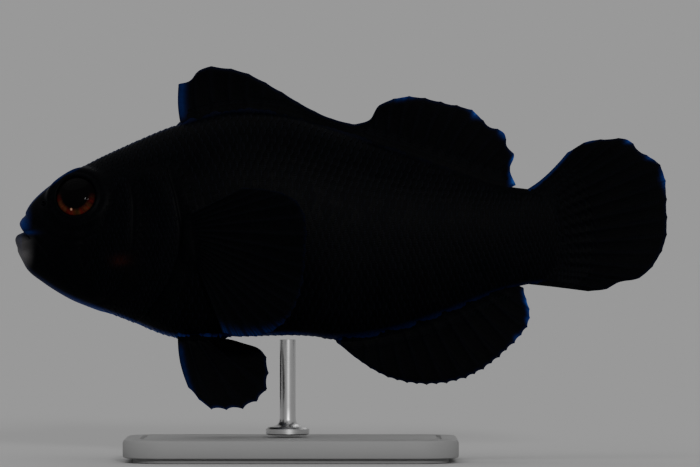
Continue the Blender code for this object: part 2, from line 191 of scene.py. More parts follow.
PELVIC_BASE = [(22.6, -14.95), (28.2, -14.95)]
PELVIC_MARGIN = [
    (24.0, -21.5), (26.6, -24.2), (30.6, -24.5), (34.0, -23.0), (34.9, -19.5), (34.1, -16.5), (31.0, -15.4),
]
PELVIC_ASIDE, PELVIC_SPLAY = 1.5, math.tan(math.radians(18))


# --- Curves and the body's own shape --------------------------------------------------------------


def world(places):
    """Millimetres on the fish to metres in the scene."""
    return (np.asarray(places, float) + (-TOTAL_LENGTH / 2, 0.0, AXIS_HEIGHT)) * MM


def through(knots, values, at):
    """A smooth curve through values at knots, read at the places in at."""
    knots, values, at = (np.asarray(a, float) for a in (knots, values, at))
    slopes = np.gradient(values, knots, axis=0)
    low = np.clip(np.searchsorted(knots, at) - 1, 0, len(knots) - 2)
    span = (knots[low + 1] - knots[low]).reshape(at.shape + (1,) * (values.ndim - 1))
    s = (at - knots[low]).reshape(span.shape) / span
    return (
        values[low] * (1 + 2 * s) * (1 - s) ** 2
        + slopes[low] * span * s * (1 - s) ** 2
        + values[low + 1] * s * s * (3 - 2 * s)
        + slopes[low + 1] * span * s * s * (s - 1)
    )


def on_outline(points, share):
    """Places at shares of the length of a smooth curve through the given points."""
    points = np.array(points, float)
    chord = np.concatenate([[0], np.cumsum(np.linalg.norm(np.diff(points, axis=0), axis=1))])
    return through(chord, points, np.asarray(share) * chord[-1])


def between(value, low, high):
    """Where a value lies between two others."""
    return (value > low) & (value < high)


def smooth(value, low, high):
    """0 at low, 1 at high, and an easy slope between them. Low may be the larger."""
    share = np.clip((value - low) / (high - low), 0, 1)
    return share * share * (3 - 2 * share)


def bump(distance, breadth):
    """1 at a distance of 0, falling away over the breadth."""
    return np.exp(-((distance / breadth) ** 2))


def unit(vectors):
    """The vectors at a length of 1."""
    return vectors / np.maximum(np.linalg.norm(vectors, axis=-1, keepdims=True), 1e-12)


def profile(distance):
    """(back, belly, half width) at a distance behind the upper lip. The root gives a blunt snout."""
    root = np.sqrt(np.clip(distance, 0, STATIONS[-1, 0]))
    back, belly, width = np.moveaxis(through(np.sqrt(STATIONS[:, 0]), STATIONS[:, 1:], root), -1, 0)
    return back, belly, np.maximum(width, 0)


def half_section(distance, upper):
    """(half width, height of the widest point, reach to the back or the belly, power) of half a section."""
    back, belly, width = profile(distance)
    middle = belly + WIDEST_SHARE * (back - belly)
    reach = np.where(upper, back - middle, middle - belly)
    return width, middle, reach, np.where(upper, BACK_POWER, BELLY_POWER)


def section(distance, turn):
    """(aside, height) on the body's section. The turn is 0 on the back and half a circle on the belly."""
    rise, side = np.cos(turn), np.sin(turn)
    width, middle, reach, power = half_section(distance, rise > 0)
    aside = width * np.sign(side) * np.abs(side) ** (2 / power)
    return aside, middle + reach * np.sign(rise) * np.abs(rise) ** (2 / power)


def flank(along, height):
    """The body's half width at a place seen from the side."""
    distance = np.asarray(along, float) - LIP_SETBACK
    above = height > half_section(distance, True)[1]
    width, middle, reach, power = half_section(distance, above)
    return width * (1 - np.clip(np.abs(height - middle) / reach, 0, 1) ** power) ** (1 / power)


def distance_of(aside, height):
    """How far behind the upper lip the head's surface lies, seen from the front: found by halving."""
    near, far = np.zeros(np.shape(aside)), np.full(np.shape(aside), HEAD_DOME + 1)
    for _ in range(24):
        middle = (near + far) / 2
        outside = np.abs(aside) >= flank(middle + LIP_SETBACK, height)
        near, far = np.where(outside, middle, near), np.where(outside, far, middle)
    return far


def gill_line_at(height):
    """Where the gill cover's rear edge stands at a height."""
    line = on_outline(GILL_LINE, np.linspace(0, 1, 200))
    return np.interp(-height, -line[:, 1], line[:, 0])


def beside(along, height, points):
    """How far each place lies from a line in side view.

    It is positive above a line that runs back, and behind a line that runs down.
    """
    line = on_outline(points, np.linspace(0, 1, 48))
    nearest = np.full(np.shape(along), np.inf)
    signed = np.zeros(np.shape(along))
    for start, end in zip(line, line[1:]):
        run = end - start
        share = np.clip(((along - start[0]) * run[0] + (height - start[1]) * run[1]) / (run @ run), 0, 1)
        off_along = along - start[0] - share * run[0]
        off_height = height - start[1] - share * run[1]
        distance = np.hypot(off_along, off_height)
        closer = distance < nearest
        nearest = np.where(closer, distance, nearest)
        side = np.sign(run[0] * off_height - run[1] * off_along)
        signed = np.where(closer, side * distance, signed)
    return signed


# --- The skin of head and body --------------------------------------------------------------------

COLUMNS = 184
FLANK_CROWDING = 0.35
LIP_STEPS = np.concatenate([np.arange(0, 0.6, 0.09), np.arange(0.6, 2.9, 0.14)])
FACE_STEPS = np.linspace(0, 1, 60)[1:]
COVER_STEPS = np.linspace(0, 1, 26)[1:-1, None]
SHOULDER_STEPS, SHOULDER_END = np.linspace(0, 1, 16)[1:, None], 30.0
TRUNK_RINGS = 46
WEDGE_STEPS = (0.12, 0.26, 0.4, 0.54, 0.68, 0.8, 0.9, 0.96, 1.0)


def ring_turns():
    """Where the columns of points stand round the body: closer together on the flanks, which are flatter."""
    turn = np.arange(COLUMNS) * math.tau / COLUMNS
    return turn + FLANK_CROWDING * np.sin(2 * turn) / 2


def underside(turns, power):
    """0 on the upper half of the body and 1 on its lowest line."""
    return np.clip(-np.cos(turns), 0, 1) ** power


def head_rings(turns):
    """Rings from the cleft of the mouth, over the lips and back to the dome's end."""
    # A line over the face for each column, from the cleft to the dome's rim
    share = np.linspace(0, 1, 240)[:, None]
    rim_aside, rim_height = section(HEAD_DOME, turns)
    aside = (1 - share) * MOUTH_HALF_WIDTH * np.sin(turns) + share * rim_aside
    corner_drop = MOUTH_DROP * np.abs(np.sin(turns)) ** 1.5
    height = (1 - share) * (MOUTH_HEIGHT - corner_drop) + share * rim_height
    jaw = JAW_REACH * underside(turns, 0.7) * bump(share, 0.45)
    along = distance_of(aside, height) + LIP_SETBACK - jaw
    lines = np.stack([along, aside, height], axis=-1)

    # Rings at even steps over the lips, and at shares of what is left of each line behind them
    length = np.cumsum(np.linalg.norm(np.diff(lines, axis=0, prepend=lines[:1]), axis=2), axis=0)
    rings = np.empty((len(LIP_STEPS) + len(FACE_STEPS), len(turns), 3))
    stops = np.empty(rings.shape[:2])
    for column in range(len(turns)):
        rest = LIP_STEPS[-1] + (length[-1, column] - LIP_STEPS[-1]) * FACE_STEPS
        stops[:, column] = np.concatenate([LIP_STEPS, rest])
        for axis in range(3):
            rings[:, column, axis] = np.interp(stops[:, column], length[:, column], lines[:, column, axis])

    # The lips stand out, with the cleft between them and a crease behind them, and so does the chin
    front = 1 - np.clip((rings[..., 0] - 3) / 3, 0, 1)
    lip = LIP_SWELL * bump(stops - LIP_FROM_CLEFT, LIP_BREADTH)
    crease = 0.16 * bump(stops - 2.25, 0.26) * (0.4 + 0.6 * (np.cos(turns) > 0))
    cleft = CLEFT_DEPTH * bump(stops, CLEFT_BREADTH)
    chin = 0.34 * bump(stops - 2.5, 1.1) * underside(turns, 2)
    rings[..., 0] += front * (cleft + crease - lip - chin)
    return rings


def place_on_body(along, turns):
    """Places on the body's sections, before any relief."""
    aside, height = section(along - LIP_SETBACK, turns)
    return np.stack(np.broadcast_arrays(along, aside, height), axis=-1)


def body_grid():
    """The skin before its relief, with rings close together at the gill cover's edge."""
    turns = ring_turns()
    dome_end = HEAD_DOME + LIP_SETBACK
    # Where the gill line crosses each column, found step by step
    edge = np.full(len(turns), 20.0)
    for _ in range(30):
        edge = 0.5 * edge + 0.5 * gill_line_at(section(edge - LIP_SETBACK, turns)[1])
    edge = np.maximum(edge, dome_end + 1.2)
    start, stop = edge + FLAP[0, 0], edge + FLAP[-1, 0]
    cover = dome_end + (start - dome_end) * COVER_STEPS
    flap = edge + FLAP[:, :1]
    shoulder = stop + (SHOULDER_END - stop) * SHOULDER_STEPS
    trunk = np.linspace(SHOULDER_END, BODY_END, TRUNK_RINGS)[1:, None] + 0 * turns
    along = np.concatenate([cover, flap, shoulder, trunk])
    rear = place_on_body(along, turns)
    return np.concatenate([head_rings(turns), rear, tail_wedge(rear[-1])])


def tail_wedge(last):
    """The end of the tail stalk, thinned to an edge between the rays of the tail fin."""
    from_middle = last[:, 2] - WEDGE_MIDDLE
    rounding = 1 - 0.3 * (from_middle / 6.7) ** 2
    rings = []
    for share in WEDGE_STEPS:
        ring = last.copy()
        ring[:, 0] += TAIL_WEDGE * share * rounding
        ring[:, 1] *= (1 - share**WEDGE_FULLNESS) * 0.97 + 0.03
        ring[:, 2] = WEDGE_MIDDLE + from_middle * (1 - WEDGE_LOWERING * share)
        rings.append(ring)
    return np.array(rings)


def grid_normals(places):
    """Outward normals of a grid whose columns run round the body."""
    round_body = np.roll(places, -1, axis=1) - np.roll(places, 1, axis=1)
    back = np.gradient(places, axis=0)
    return unit(np.cross(back, round_body))


# Where the scales begin, as along at a height, and how much round the eye stays bare
COAT_START = [(-13, 13.5), (-10, 11.5), (-7, 9.6), (-3, 8.6), (1, 9.4), (6, 9.0), (9, 8.6), (13, 9.6)]
BARE_ROUND_EYE = 4.0


def inside_coat(along, height):
    """How far a place lies within the scales. They leave the snout, lips, chin, throat and eyes bare."""
    starts = np.interp(height, *zip(*COAT_START))
    eye = np.hypot(along - EYE_ALONG, height - EYE_HEIGHT)
    return np.minimum(along - starts, eye - BARE_ROUND_EYE)


def coat_share(along, height):
    """1 where scales cover the skin, 0 where it is bare."""
    return smooth(inside_coat(along, height), -0.7, 0.7)


def eye_frame(sign):
    """The middle of an eye's opening, and which way the eye looks, as (along, aside, height)."""
    axis = unit(np.array([-math.tan(EYE_FORWARD), sign, math.tan(EYE_UP)]))
    middle = np.array([EYE_ALONG, sign * flank(EYE_ALONG, EYE_HEIGHT), EYE_HEIGHT])
    return middle + EYE_STAND_OUT * axis, axis


def settle_round_eyes(places):
    """Draws the skin flush with each eye, with a low rim, and down under the eyeball inside it."""
    for _, sign in SIDES:
        middle, axis = eye_frame(sign)
        offset = places - middle
        rise = offset @ axis
        radius = np.linalg.norm(offset - rise[..., None] * axis, axis=-1)
        near = smooth(places[..., 1] * sign, 0.6, 1.6) * smooth(np.abs(rise), 3.9, 2.2)
        flatten = -rise * smooth(radius, 5.05, 3.7)
        dish = -1.4 * smooth(radius, EYE_RIM + 0.2, EYE_RIM - 0.8) - 0.05 * smooth(radius, 4.2, 3.7)
        places = places + (near * (flatten + dish))[..., None] * axis
    return places


def gill_opening(aside, height):
    """1 where the gill cover's edge stands free: it closes above, and under the throat."""
    return smooth(height, 9.5, 6.5) * np.where(height < -8, smooth(np.abs(aside), 0.9, 2.6), 1)


def relief(places):
    """How far the skin stands out, plate by plate and fold by fold."""
    along, aside, height = np.moveaxis(places, -1, 0)

    # The gill cover and its free edge
    behind = along - gill_line_at(height)
    flap = np.interp(behind, FLAP[:, 0], FLAP[:, 1])
    cover = np.where(behind < FLAP[0, 0], FLAP[0, 1] * bump(behind - FLAP[0, 0], 3.2), flap)
    raised = gill_opening(aside, height) * cover

    # The cheek's plate, with a groove behind it
    cheek = beside(along, height, CHEEK_PLATE)
    ends = smooth(height, -10.2, -8.6) * smooth(height, 7.6, 5.6)
    raised += 0.16 * ends * smooth(cheek, 0.2, -0.16) * bump(np.minimum(cheek, 0), 2.6)
    raised -= 0.1 * ends * bump(cheek - 0.25, 0.3)

    # The plate under the eye, with a groove below it
    under_eye = beside(along, height, EYE_PLATE)
    ends = smooth(along, 2.6, 3.6) * smooth(along, 13.2, 12.0)
    raised += 0.09 * ends * smooth(under_eye, -0.25, 0.25) * bump(np.maximum(under_eye, 0), 1.3)
    raised -= 0.06 * ends * bump(under_eye + 0.3, 0.34)

    # The jaw's fold, the flesh at the mouth's corner, and the two folds of the throat
    jaw = beside(along, height, JAW_FOLD)
    raised -= 0.14 * bump(jaw, 0.24) * smooth(along, 2.2, 3.4) * smooth(along, 9.4, 7.4)
    raised += 0.1 * bump(np.hypot((along - 3.3) / 1.5, (height + 0.9) / 1.0), 0.8)
    throat = smooth(along, 10, 13) * smooth(along, 21, 17)
    raised -= 0.16 * throat * bump(np.abs(aside) - 1.25, 0.35) * (height < -8)

    # The lobe that carries the side fin, the nostrils and the vent
    lobe = np.hypot((along - 24.6) / 1.7, (height + 1.0) / 4.6)
    raised += 0.5 * smooth(lobe, 1.15, 0.5)
    raised -= 0.45 * bump(np.hypot(along - NOSTRIL[0], height - NOSTRIL[1]), 0.36)
    raised += 0.35 * bump(np.hypot((along - VENT_ALONG) / 0.9, aside / 0.8), 0.8) * (height < 0)
    return raised


def body_places():
    """The finished grid of the skin, from the cleft of the mouth to the end of the tail stalk."""
    places = body_grid()
    normals = grid_normals(places)
    along, aside, height = np.moveaxis(places, -1, 0)
    sunk = bpy.context.scene.clownfish.scales.coat / MM * coat_share(along, height)
    behind = along - gill_line_at(height)
    drawn = gill_opening(aside, height) * np.interp(behind, FLAP[:, 0], FLAP[:, 2], left=0, right=0)
    places = places + (relief(places) - sunk)[..., None] * normals
    places[..., 0] += drawn
    return settle_round_eyes(places)


def faces_round(rows, columns):
    """The numbers of points in rings, ring by ring, and the quads between each ring and the next."""
    at = np.arange(rows * columns).reshape(rows, columns)
    following = np.roll(at, -1, axis=1)
    return at, np.stack([at[:-1], following[:-1], following[1:], at[1:]], axis=-1).reshape(-1, 4).tolist()


def capped_faces(rows, columns):
    """The faces of rings whose first and last are closed by one face each."""
    at, quads = faces_round(rows, columns)
    return quads + [at[0].tolist(), at[-1].tolist()]


def body_faces(rows):
    """Quads round the body. The first ring folds shut across the mouth, and the last is closed by a strip."""
    at, quads = faces_round(rows, COLUMNS)
    half, quarter = COLUMNS // 2, COLUMNS // 4
    for ring, reverse in ((at[0], False), (at[-1], True)):
        for i in range(-quarter, quarter):
            corners = (ring[i], ring[(i + 1) % COLUMNS], ring[half - i - 1], ring[half - i])
            corners = [int(c) for c in dict.fromkeys(corners)]
            quads.append(corners[::-1] if reverse else corners)
    return quads


# --- Meshes ---------------------------------------------------------------------------------------


def outward_mesh(name, places, faces):
    """A closed mesh from metres, its faces outwards. The first step can leave a thin one inside out."""
    mesh = bpy.data.meshes.new(name)
    mesh.from_pydata(places, [], faces)
    bm = bmesh.new()
    bm.from_mesh(mesh)
    bm.normal_update()
    bmesh.ops.recalc_face_normals(bm, faces=bm.faces)
    if bm.calc_volume(signed=True) < 0:
        bmesh.ops.reverse_faces(bm, faces=bm.faces)
    bm.to_mesh(mesh)
    bm.free()
    return mesh


def make_mesh(name, places, faces, **marks):
    """A closed mesh from millimetres.

    The values of its points are kept on the faces' corners, because a union blends them there.
    """
    mesh = outward_mesh(name, world(places), faces)
    corner = np.empty(len(mesh.loops), np.int32)
    mesh.loops.foreach_get("vertex_index", corner)
    for key, values in marks.items():
        values = np.asarray(values, np.float32)
        kind, field = ("FLOAT", "value") if values.ndim == 1 else ("FLOAT_VECTOR", "vector")
        mesh.attributes.new(key, kind, "CORNER").data.foreach_set(field, values[corner].ravel())
    return mesh


def on_body(mesh):
    """Where a mesh's points are, as (along, aside, height) in millimetres."""
    places = np.empty(3 * len(mesh.vertices))
    mesh.vertices.foreach_get("co", places)
    return (places.reshape(-1, 3) - world(np.zeros((1, 3)))) / MM


def keep_vectors(mesh, name, vectors):
    """Three numbers for each point of a mesh, as an attribute."""
    values = np.asarray(vectors, np.float32).ravel()
    mesh.attributes.new(name, "FLOAT_VECTOR", "POINT").data.foreach_set("vector", values)


def add_object(name, mesh, collection=None):
    made = bpy.data.objects.new(name, mesh)
    (collection or bpy.context.scene.collection).objects.link(made)
    return made


def applied(made):
    """The object with its modifiers made part of its mesh."""
    graph = bpy.context.evaluated_depsgraph_get()
    graph.update()
    mesh = bpy.data.meshes.new_from_object(made.evaluated_get(graph))
    made.modifiers.clear()
    old, made.data = made.data, mesh
    mesh.name = made.name
    bpy.data.meshes.remove(old)
    return made


def shade(mesh, degrees):
    """Smooth shading, broken at edges sharper than the angle."""
    mesh.shade_smooth()
    mesh.set_sharp_from_angle(angle=math.radians(degrees))


# --- Fins -----------------------------------------------------------------------------------------

EDGE_ROUNDING = 0.24
FOOT_DEPTH = 1.0
# Shares of a ray's length where rows of points lie: close together where the fin flares into the body, and at
# its margin
RAY_ROWS = np.array(
    [0, 0.025, 0.055, 0.09, 0.13, 0.18, 0.24, 0.3, 0.36, 0.42, 0.48, 0.54, 0.6, 0.66, 0.72, 0.78, 0.83, 0.88]
    + [0.915, 0.945, 0.968, 0.985, 0.995, 1.0]
)


def ray_places(rays, per_gap):
    """Places across a fin, counted in rays, and how far past the end rays the first and last few stand."""
    gap = np.linspace(0, 1, per_gap, endpoint=False)
    gap = gap - 0.045 * np.sin(math.tau * gap)
    inner = (np.arange(rays - 1)[:, None] + gap).ravel()
    past = EDGE_ROUNDING * np.array([1.0, 0.8, 0.45])
    places = np.concatenate([[0, 0, 0], inner, [rays - 1] * 4])
    return places, np.concatenate([-past, 0 * inner, [0], past[::-1]])


def ray_ridges(at, share, gap_width, branching):
    """1 on a ray and 0 between rays. Where it branches, a ray parts into two and then into four."""
    off = (at - np.round(at)) * gap_width
    parting = 0.17 * branching * smooth(share, 0.34, 0.95) * gap_width
    parting_again = 0.085 * branching * smooth(share, 0.62, 1.0) * gap_width
    ridge = 0 * off
    for branch in (-1, 1):
        for twig in (-1, 1):
            off_twig = off - branch * parting - twig * parting_again
            ridge = np.maximum(ridge, bump(off_twig, 0.34 - 0.2 * share))
    return ridge


def half_thickness(share, length, ridge, flare, sheath):
    """Half a fin's thickness before its ends are rounded.

    It is thicker on the rays, in the sheath of flesh at their feet and where the fin flares into the body,
    and thins to nothing at the margin.
    """
    fins = bpy.context.scene.clownfish.fins
    thick = fins.ray / MM / 2 * (1 - 0.72 * share**0.8)
    thin = fins.membrane / MM / 2 * (1 - 0.5 * share)
    half = thin + (thick - thin) * ridge
    half += smooth(length, 1.15 * sheath + 0.3, 0.35 * sheath) * (0.8 * thick - half)
    half += flare * np.exp(-np.maximum(length, 0) / 0.55)
    return half * np.sqrt(np.clip((1 - share) / 0.09, 0, 1))


def sheet_faces(rows, columns):
    """A closed sheet of two grids, near and far, that meet round the margin and are joined along the foot.

    Gives the numbers of the points in use, and the faces between them.
    """
    near = np.arange(rows * columns).reshape(rows, columns)
    far = near + near.size
    far[-1], far[:, 0], far[:, -1] = near[-1], near[:, 0], near[:, -1]
    foot = np.stack([near[0], far[0]])
    quads = [
        np.stack([grid[:-1, :-1], grid[:-1, 1:], grid[1:, 1:], grid[1:, :-1]], axis=-1).reshape(-1, 4)
        for grid in (near, far[:, ::-1], foot)
    ]
    used, faces = np.unique(np.concatenate(quads), return_inverse=True)
    return used, [list(dict.fromkeys(face)) for face in faces.reshape(-1, 4).tolist()]


def fin_shell(name, path, rays, spines, per_gap, flare, notch, teeth, wave, painted_rim, sheath):
    """A closed fin. path(share of a ray, share across) gives places in its middle plane, from foot to margin.

    The first few rays are spines, which don't branch. Flesh hides the rays' feet as far out as
    sheath(share across) says.
    """
    # How far out along its ray each point lies, less where the margin dips between rays
    at, beyond = ray_places(rays, per_gap)
    across = at / (rays - 1)
    share = np.concatenate([[0], RAY_ROWS])[:, None] + 0 * at
    branching = smooth(at, spines - 1.5, spines - 0.5) if spines else 1 + 0 * at
    bay = notch(across) * np.abs(np.sin(math.pi * at)) ** 0.9
    bay = bay + teeth * branching * np.abs(np.sin(2 * math.pi * at)) ** 0.7
    reach = share * (1 - bay)

    # The middle plane, the gap between rays there and the length from the foot, which lies inside the body
    step = 0.01
    run = path(reach, across + step) - path(reach, across - step)
    gap_width = np.linalg.norm(run, axis=-1) / (2 * step * (rays - 1))
    middle = path(reach, across) + unit(run) * beyond[:, None]
    middle[0] -= unit(middle[2] - middle[1]) * FOOT_DEPTH
    length = np.linalg.norm(np.diff(middle, axis=0, prepend=middle[:1]), axis=2).cumsum(axis=0) - FOOT_DEPTH

    # The two sides of the fin
    ridge = ray_ridges(at, share, gap_width, branching)
    half = half_thickness(share, length, ridge, flare, sheath(across))
    half *= np.sqrt(1 - np.clip(np.abs(beyond) / EDGE_ROUNDING, 0, 1) ** 2)
    middle = middle + wave(reach, across)
    normals = unit(np.cross(np.gradient(middle, axis=0), np.gradient(middle, axis=1)))
    sides = np.stack([middle - normals * half[..., None], middle + normals * half[..., None]])
    used, faces = sheet_faces(*half.shape)

    # What the finish reads
    width, strength, along_rays, leading = painted_rim(across)
    # Painted blue rim light: along the margin, more on the rays, and along the first ray
    blue = strength * bump(length[-1] - length, width) * (1 - along_rays + along_rays * ridge)
    blue = np.maximum(blue, leading * bump(at - beyond, 0.3) * smooth(length, 0.4, 2.0))

    def both(*columns):
        values = np.stack([column + 0 * length for column in columns], axis=-1)
        return np.tile(values.reshape(half.size, -1), (2, 1))[used]

    marks, lay, fin = both(blue, 0, 0), both(at, length, share), both(smooth(length, 0.0, 1.6))[:, 0]
    return make_mesh(name, sides.reshape(-1, 3)[used], faces, marks=marks, lay=lay, fin=fin)


def flat_path(foot, margin):
    """Rays from foot to margin, both (along, height) at a share across, bowed a little forwards."""

    def path(reach, across):
        low, high = foot(across), margin(across)
        place = low + (high - low) * reach[..., None]
        bow = 0.25 * np.sin(math.pi * np.clip(reach, 0, 1))
        return np.stack([place[..., 0] - bow, 0 * reach, place[..., 1]], axis=-1)

    return path


def dorsal_foot(across):
    """The dorsal fins' feet, sunk in the back, and more so at the rear."""
    ray = across * (DORSAL_RAYS - 1)
    along = np.interp(ray, *zip(*DORSAL_FEET))
    along = along + np.minimum(ray, 0) * 2.2 + np.maximum(ray - (DORSAL_RAYS - 1), 0) * 1.4
    return np.stack([along, profile(along - LIP_SETBACK)[0] - 0.5 - 0.5 * across**4], axis=-1)


def dorsal_margin(across):
    """The spiny part's margin as far as the last spine, and then the soft part's."""
    ray = across * (DORSAL_RAYS - 1)
    spiny = on_outline(SPINY_MARGIN, np.minimum(ray / (SPINES - 1), 1) * 0.985)
    soft = on_outline(SOFT_MARGIN, np.maximum((ray - SPINES) / (SOFT_RAYS - 1), 0))
    return spiny + (soft - spiny) * np.clip(ray - (SPINES - 1), 0, 1)[:, None]


def anal_foot(across):
    """The anal fin's foot, sunk in the belly, and more so at the rear."""
    along = ANAL_BASE[0] + across * (ANAL_BASE[1] - ANAL_BASE[0])
    return np.stack([along, profile(along - LIP_SETBACK)[1] + 0.5 + 0.7 * across**4], axis=-1)


def tail_path(reach, across):
    """The tail fin's upper rays leave the tail stalk level and then turn up."""
    low, high = on_outline(CAUDAL_BASE, across), on_outline(CAUDAL_MARGIN, across)
    turning = np.maximum(reach, 0) ** (1 + 0.45 * smooth(across, 0.3, 0))
    along = low[..., 0] + (high - low)[..., 0] * reach
    height = low[..., 1] + (high - low)[..., 1] * turning
    return np.stack(np.broadcast_arrays(along, 0 * height, height), axis=-1)


def pectoral_path(sign):
    """A cupped fan that stands off the flank behind the gill cover."""
    knots = np.linspace(0, 1, len(PECTORAL_TURN))

    def path(reach, across):
        turn = np.radians(through(knots, PECTORAL_TURN, across))
        reach = reach * through(knots, PECTORAL_LENGTH, across)
        base = on_outline(PECTORAL_BASE, across)
        back = reach * np.cos(turn)
        out = flank(base[:, 0], base[:, 1]) - 0.7 + 1.2 * (1 - np.exp(-np.maximum(reach, 0) / 0.7))
        out = out + back * math.sin(PECTORAL_YAW) + 0.5 * np.sin(reach / 6.0)
        out = out + PECTORAL_CUP * reach**2 * np.sin(turn) ** 2
        along = base[:, 0] + back * math.cos(PECTORAL_YAW)
        return np.stack([along, sign * out, base[:, 1] + reach * np.sin(turn)], axis=-1)

    return path


def pelvic_path(sign):
    """A paddle under the belly, splayed outwards."""

    def path(reach, across):
        low, high = on_outline(PELVIC_BASE, across), on_outline(PELVIC_MARGIN, across)
        low = low + (0, 0.3)
        place = low + (high - low) * reach[..., None]
        drop = np.maximum(PELVIC_BASE[0][1] - place[..., 1], 0)
        bow = 0.4 * np.sin(math.pi * np.clip(reach, 0, 1)) * smooth(across, 0.5, 0)
        out = PELVIC_ASIDE + drop * PELVIC_SPLAY
        return np.stack([place[..., 0] - bow, sign * out, place[..., 1]], axis=-1)

    return path


def ripple(depth, count, lean=0.0):
    """A wave through a fin that grows towards its margin, sideways."""

    def wave(reach, across):
        swing = np.sin(count * math.tau * across + 3 * reach + lean) * depth * np.clip(reach, 0, 1) ** 1.6
        return np.stack([0 * swing, swing, 0 * swing], axis=-1)

    return wave


def constant(value):
    """The same value at every place."""
    return lambda at: value + 0 * at


def painted_blue_rim(width, strength, swell, *tips, rays=0.0, leading=0.0):
    """Painted blue rim light along a fin's margin, with brighter tips as (place across, breadth, strength).

    Gives its width in millimetres and its strength, both larger at the tips, how far it keeps to the rays,
    and the strength of the painted blue rim light along the first ray.
    """

    def painted_rim(across):
        bright = np.maximum.reduce([most * bump(across - place, breadth) for place, breadth, most in tips])
        return width + swell * bright, strength + bright, rays, leading

    return painted_rim


def pectoral_painted_rim(across):
    """Painted blue rim light along the rays of the lower edge."""
    low = smooth(across, 0.66, 0.9)
    return 0.3 + 0.8 * low, 0.05 + 0.45 * low, 0.8, 0.0


# The brighter tips of the fins' painted blue rim light
DORSAL_TIPS = [
    (0.585, 0.025, 0.7), (0.772, 0.014, 1.3), (0.86, 0.014, 1.1), (0.934, 0.014, 1.3), (1, 0.03, 1.4),
]
ANAL_TIPS = [(0.79, 0.02, 0.7), (0.88, 0.03, 0.9), (0.94, 0.05, 1.3)]
CAUDAL_TIPS = [(0.09, 0.02, 0.5), (0.232, 0.014, 1.1), (0.33, 0.02, 0.9), (0.43, 0.03, 1.1)]
PELVIC_TIPS = [(0.0, 0.3, 0.4)]


def fin_designs():
    """How each fin is made: a table of fin_shell's inputs by name."""
    notch = bpy.context.scene.clownfish.fins.notch
    last_spine = (SPINES - 0.5) / (DORSAL_RAYS - 1)
    designs = {
        "dorsal_fin": {
            "path": flat_path(dorsal_foot, dorsal_margin),
            "rays": DORSAL_RAYS,
            "spines": SPINES,
            "per_gap": 9,
            "flare": 0.5,
            "notch": lambda across: np.where(across < last_spine, 0.022, 0.014) * notch,
            "teeth": 0.004,
            "wave": ripple(0.25, 2.2),
            "painted_rim": painted_blue_rim(0.26, 0.1, 0.25, *DORSAL_TIPS, rays=0.3, leading=0.45),
            "sheath": lambda across: 1.6 + 1.4 * across,
        },
        "anal_fin": {
            "path": flat_path(anal_foot, lambda across: on_outline(ANAL_MARGIN, across)),
            "rays": ANAL_RAYS,
            "spines": ANAL_SPINES,
            "per_gap": 12,
            "flare": 0.5,
            "notch": constant(0.008 * notch),
            "teeth": 0.022,
            "wave": ripple(0.22, 1.6, 1.0),
            "painted_rim": painted_blue_rim(0.26, 0.1, 0.2, *ANAL_TIPS, rays=0.2, leading=0.2),
            "sheath": lambda across: 1.9 + 0.6 * across,
        },
        "caudal_fin": {
            "path": tail_path,
            "rays": CAUDAL_RAYS,
            "spines": 0,
            "per_gap": 9,
            "flare": 0.1,
            "notch": constant(0.005 * notch),
            "teeth": 0.003,
            "wave": ripple(0.35, 1.3, 0.6),
            "painted_rim": painted_blue_rim(0.26, 0.08, 0.2, *CAUDAL_TIPS, rays=0.3, leading=0.5),
            "sheath": lambda across: 8.2 + 2.0 * np.sin(math.pi * across),
        },
    }
    for side, sign in SIDES:
        designs[f"pectoral_fin_{side}"] = {
            "path": pectoral_path(sign),
            "rays": PECTORAL_RAYS,
            "spines": 0,
            "per_gap": 9,
            "flare": 0.6,
            "notch": constant(0.012 * notch),
            "teeth": 0.004,
            "wave": ripple(sign * 0.25, 2.6),
            "painted_rim": pectoral_painted_rim,
            "sheath": constant(2.4),
        }
        designs[f"pelvic_fin_{side}"] = {
            "path": pelvic_path(sign),
            "rays": PELVIC_RAYS,
            "spines": 1,
            "per_gap": 16,
            "flare": 0.3,
            "notch": lambda across: 0.02 * notch * smooth(across, 0.8, 0.5),
            "teeth": 0.032,
            "wave": ripple(sign * 0.2, 1.2),
            "painted_rim": painted_blue_rim(0.26, 0.12, 0.0, *PELVIC_TIPS, rays=0.2, leading=0.3),
            "sheath": constant(0.8),
        }
    return designs


# --- The skin as one piece ------------------------------------------------------------------------

# The painted blue rim light's strength at places along the belly and the back, and the grey's at heights on
# the chin
BELLY_PAINTED_RIM = [
    (2, 0.1), (5, 0.35), (9, 0.8), (13, 1.1), (22, 1.1), (27, 0.75), (37, 0.75), (42, 0.2), (70, 0.1),
]
BACK_PAINTED_RIM = [(1, 0.5), (4, 0.3), (9, 0.22), (20, 0.2), (26, 0.04), (70, 0.0)]
CHIN_GREY = [(-5.6, 0), (-4.4, 0.75), (-3.3, 1.0), (-2.2, 0.5), (-1.0, 0.24), (-0.5, 0.06)]


def body_marks(places):
    """Painted blue rim light on lips, mouth, throat, back and belly, grey on the chin and a brown flush on
    the cheek, each from 0 up.
    """
    along, _, height = np.moveaxis(np.asarray(places), -1, 0)
    back, belly, _ = profile(along - LIP_SETBACK)
    # Painted blue rim light along the belly's and the back's edges, on the upper lip and along the mouth
    under = np.interp(along, *zip(*BELLY_PAINTED_RIM)) * smooth(height - belly, 0.8, 0.1)
    over = np.interp(along, *zip(*BACK_PAINTED_RIM)) * smooth(back - height, 0.45, 0.05)
    upper_lip = smooth(along, 2.6, 0.4) * smooth(height, -0.2, 0.6) * smooth(height, 4.8, 2.0)
    mouth = 0.35 * bump(np.hypot((along - 1.5) / 1.3, (height + 0.05) / 0.3), 1.0)
    blue = np.maximum.reduce([under, over, 0.6 * upper_lip, mouth])
    chin = np.interp(height, *zip(*CHIN_GREY))
    grey = smooth(along - 0.15 * (height + 0.5), 3.3, 0.9) * chin * (height < -0.3)
    brown = 0.6 * bump(np.hypot((along - 14.6) / 1.2, (height + 3.9) / 0.75), 1.0)
    return np.stack([blue, grey, brown], axis=-1)


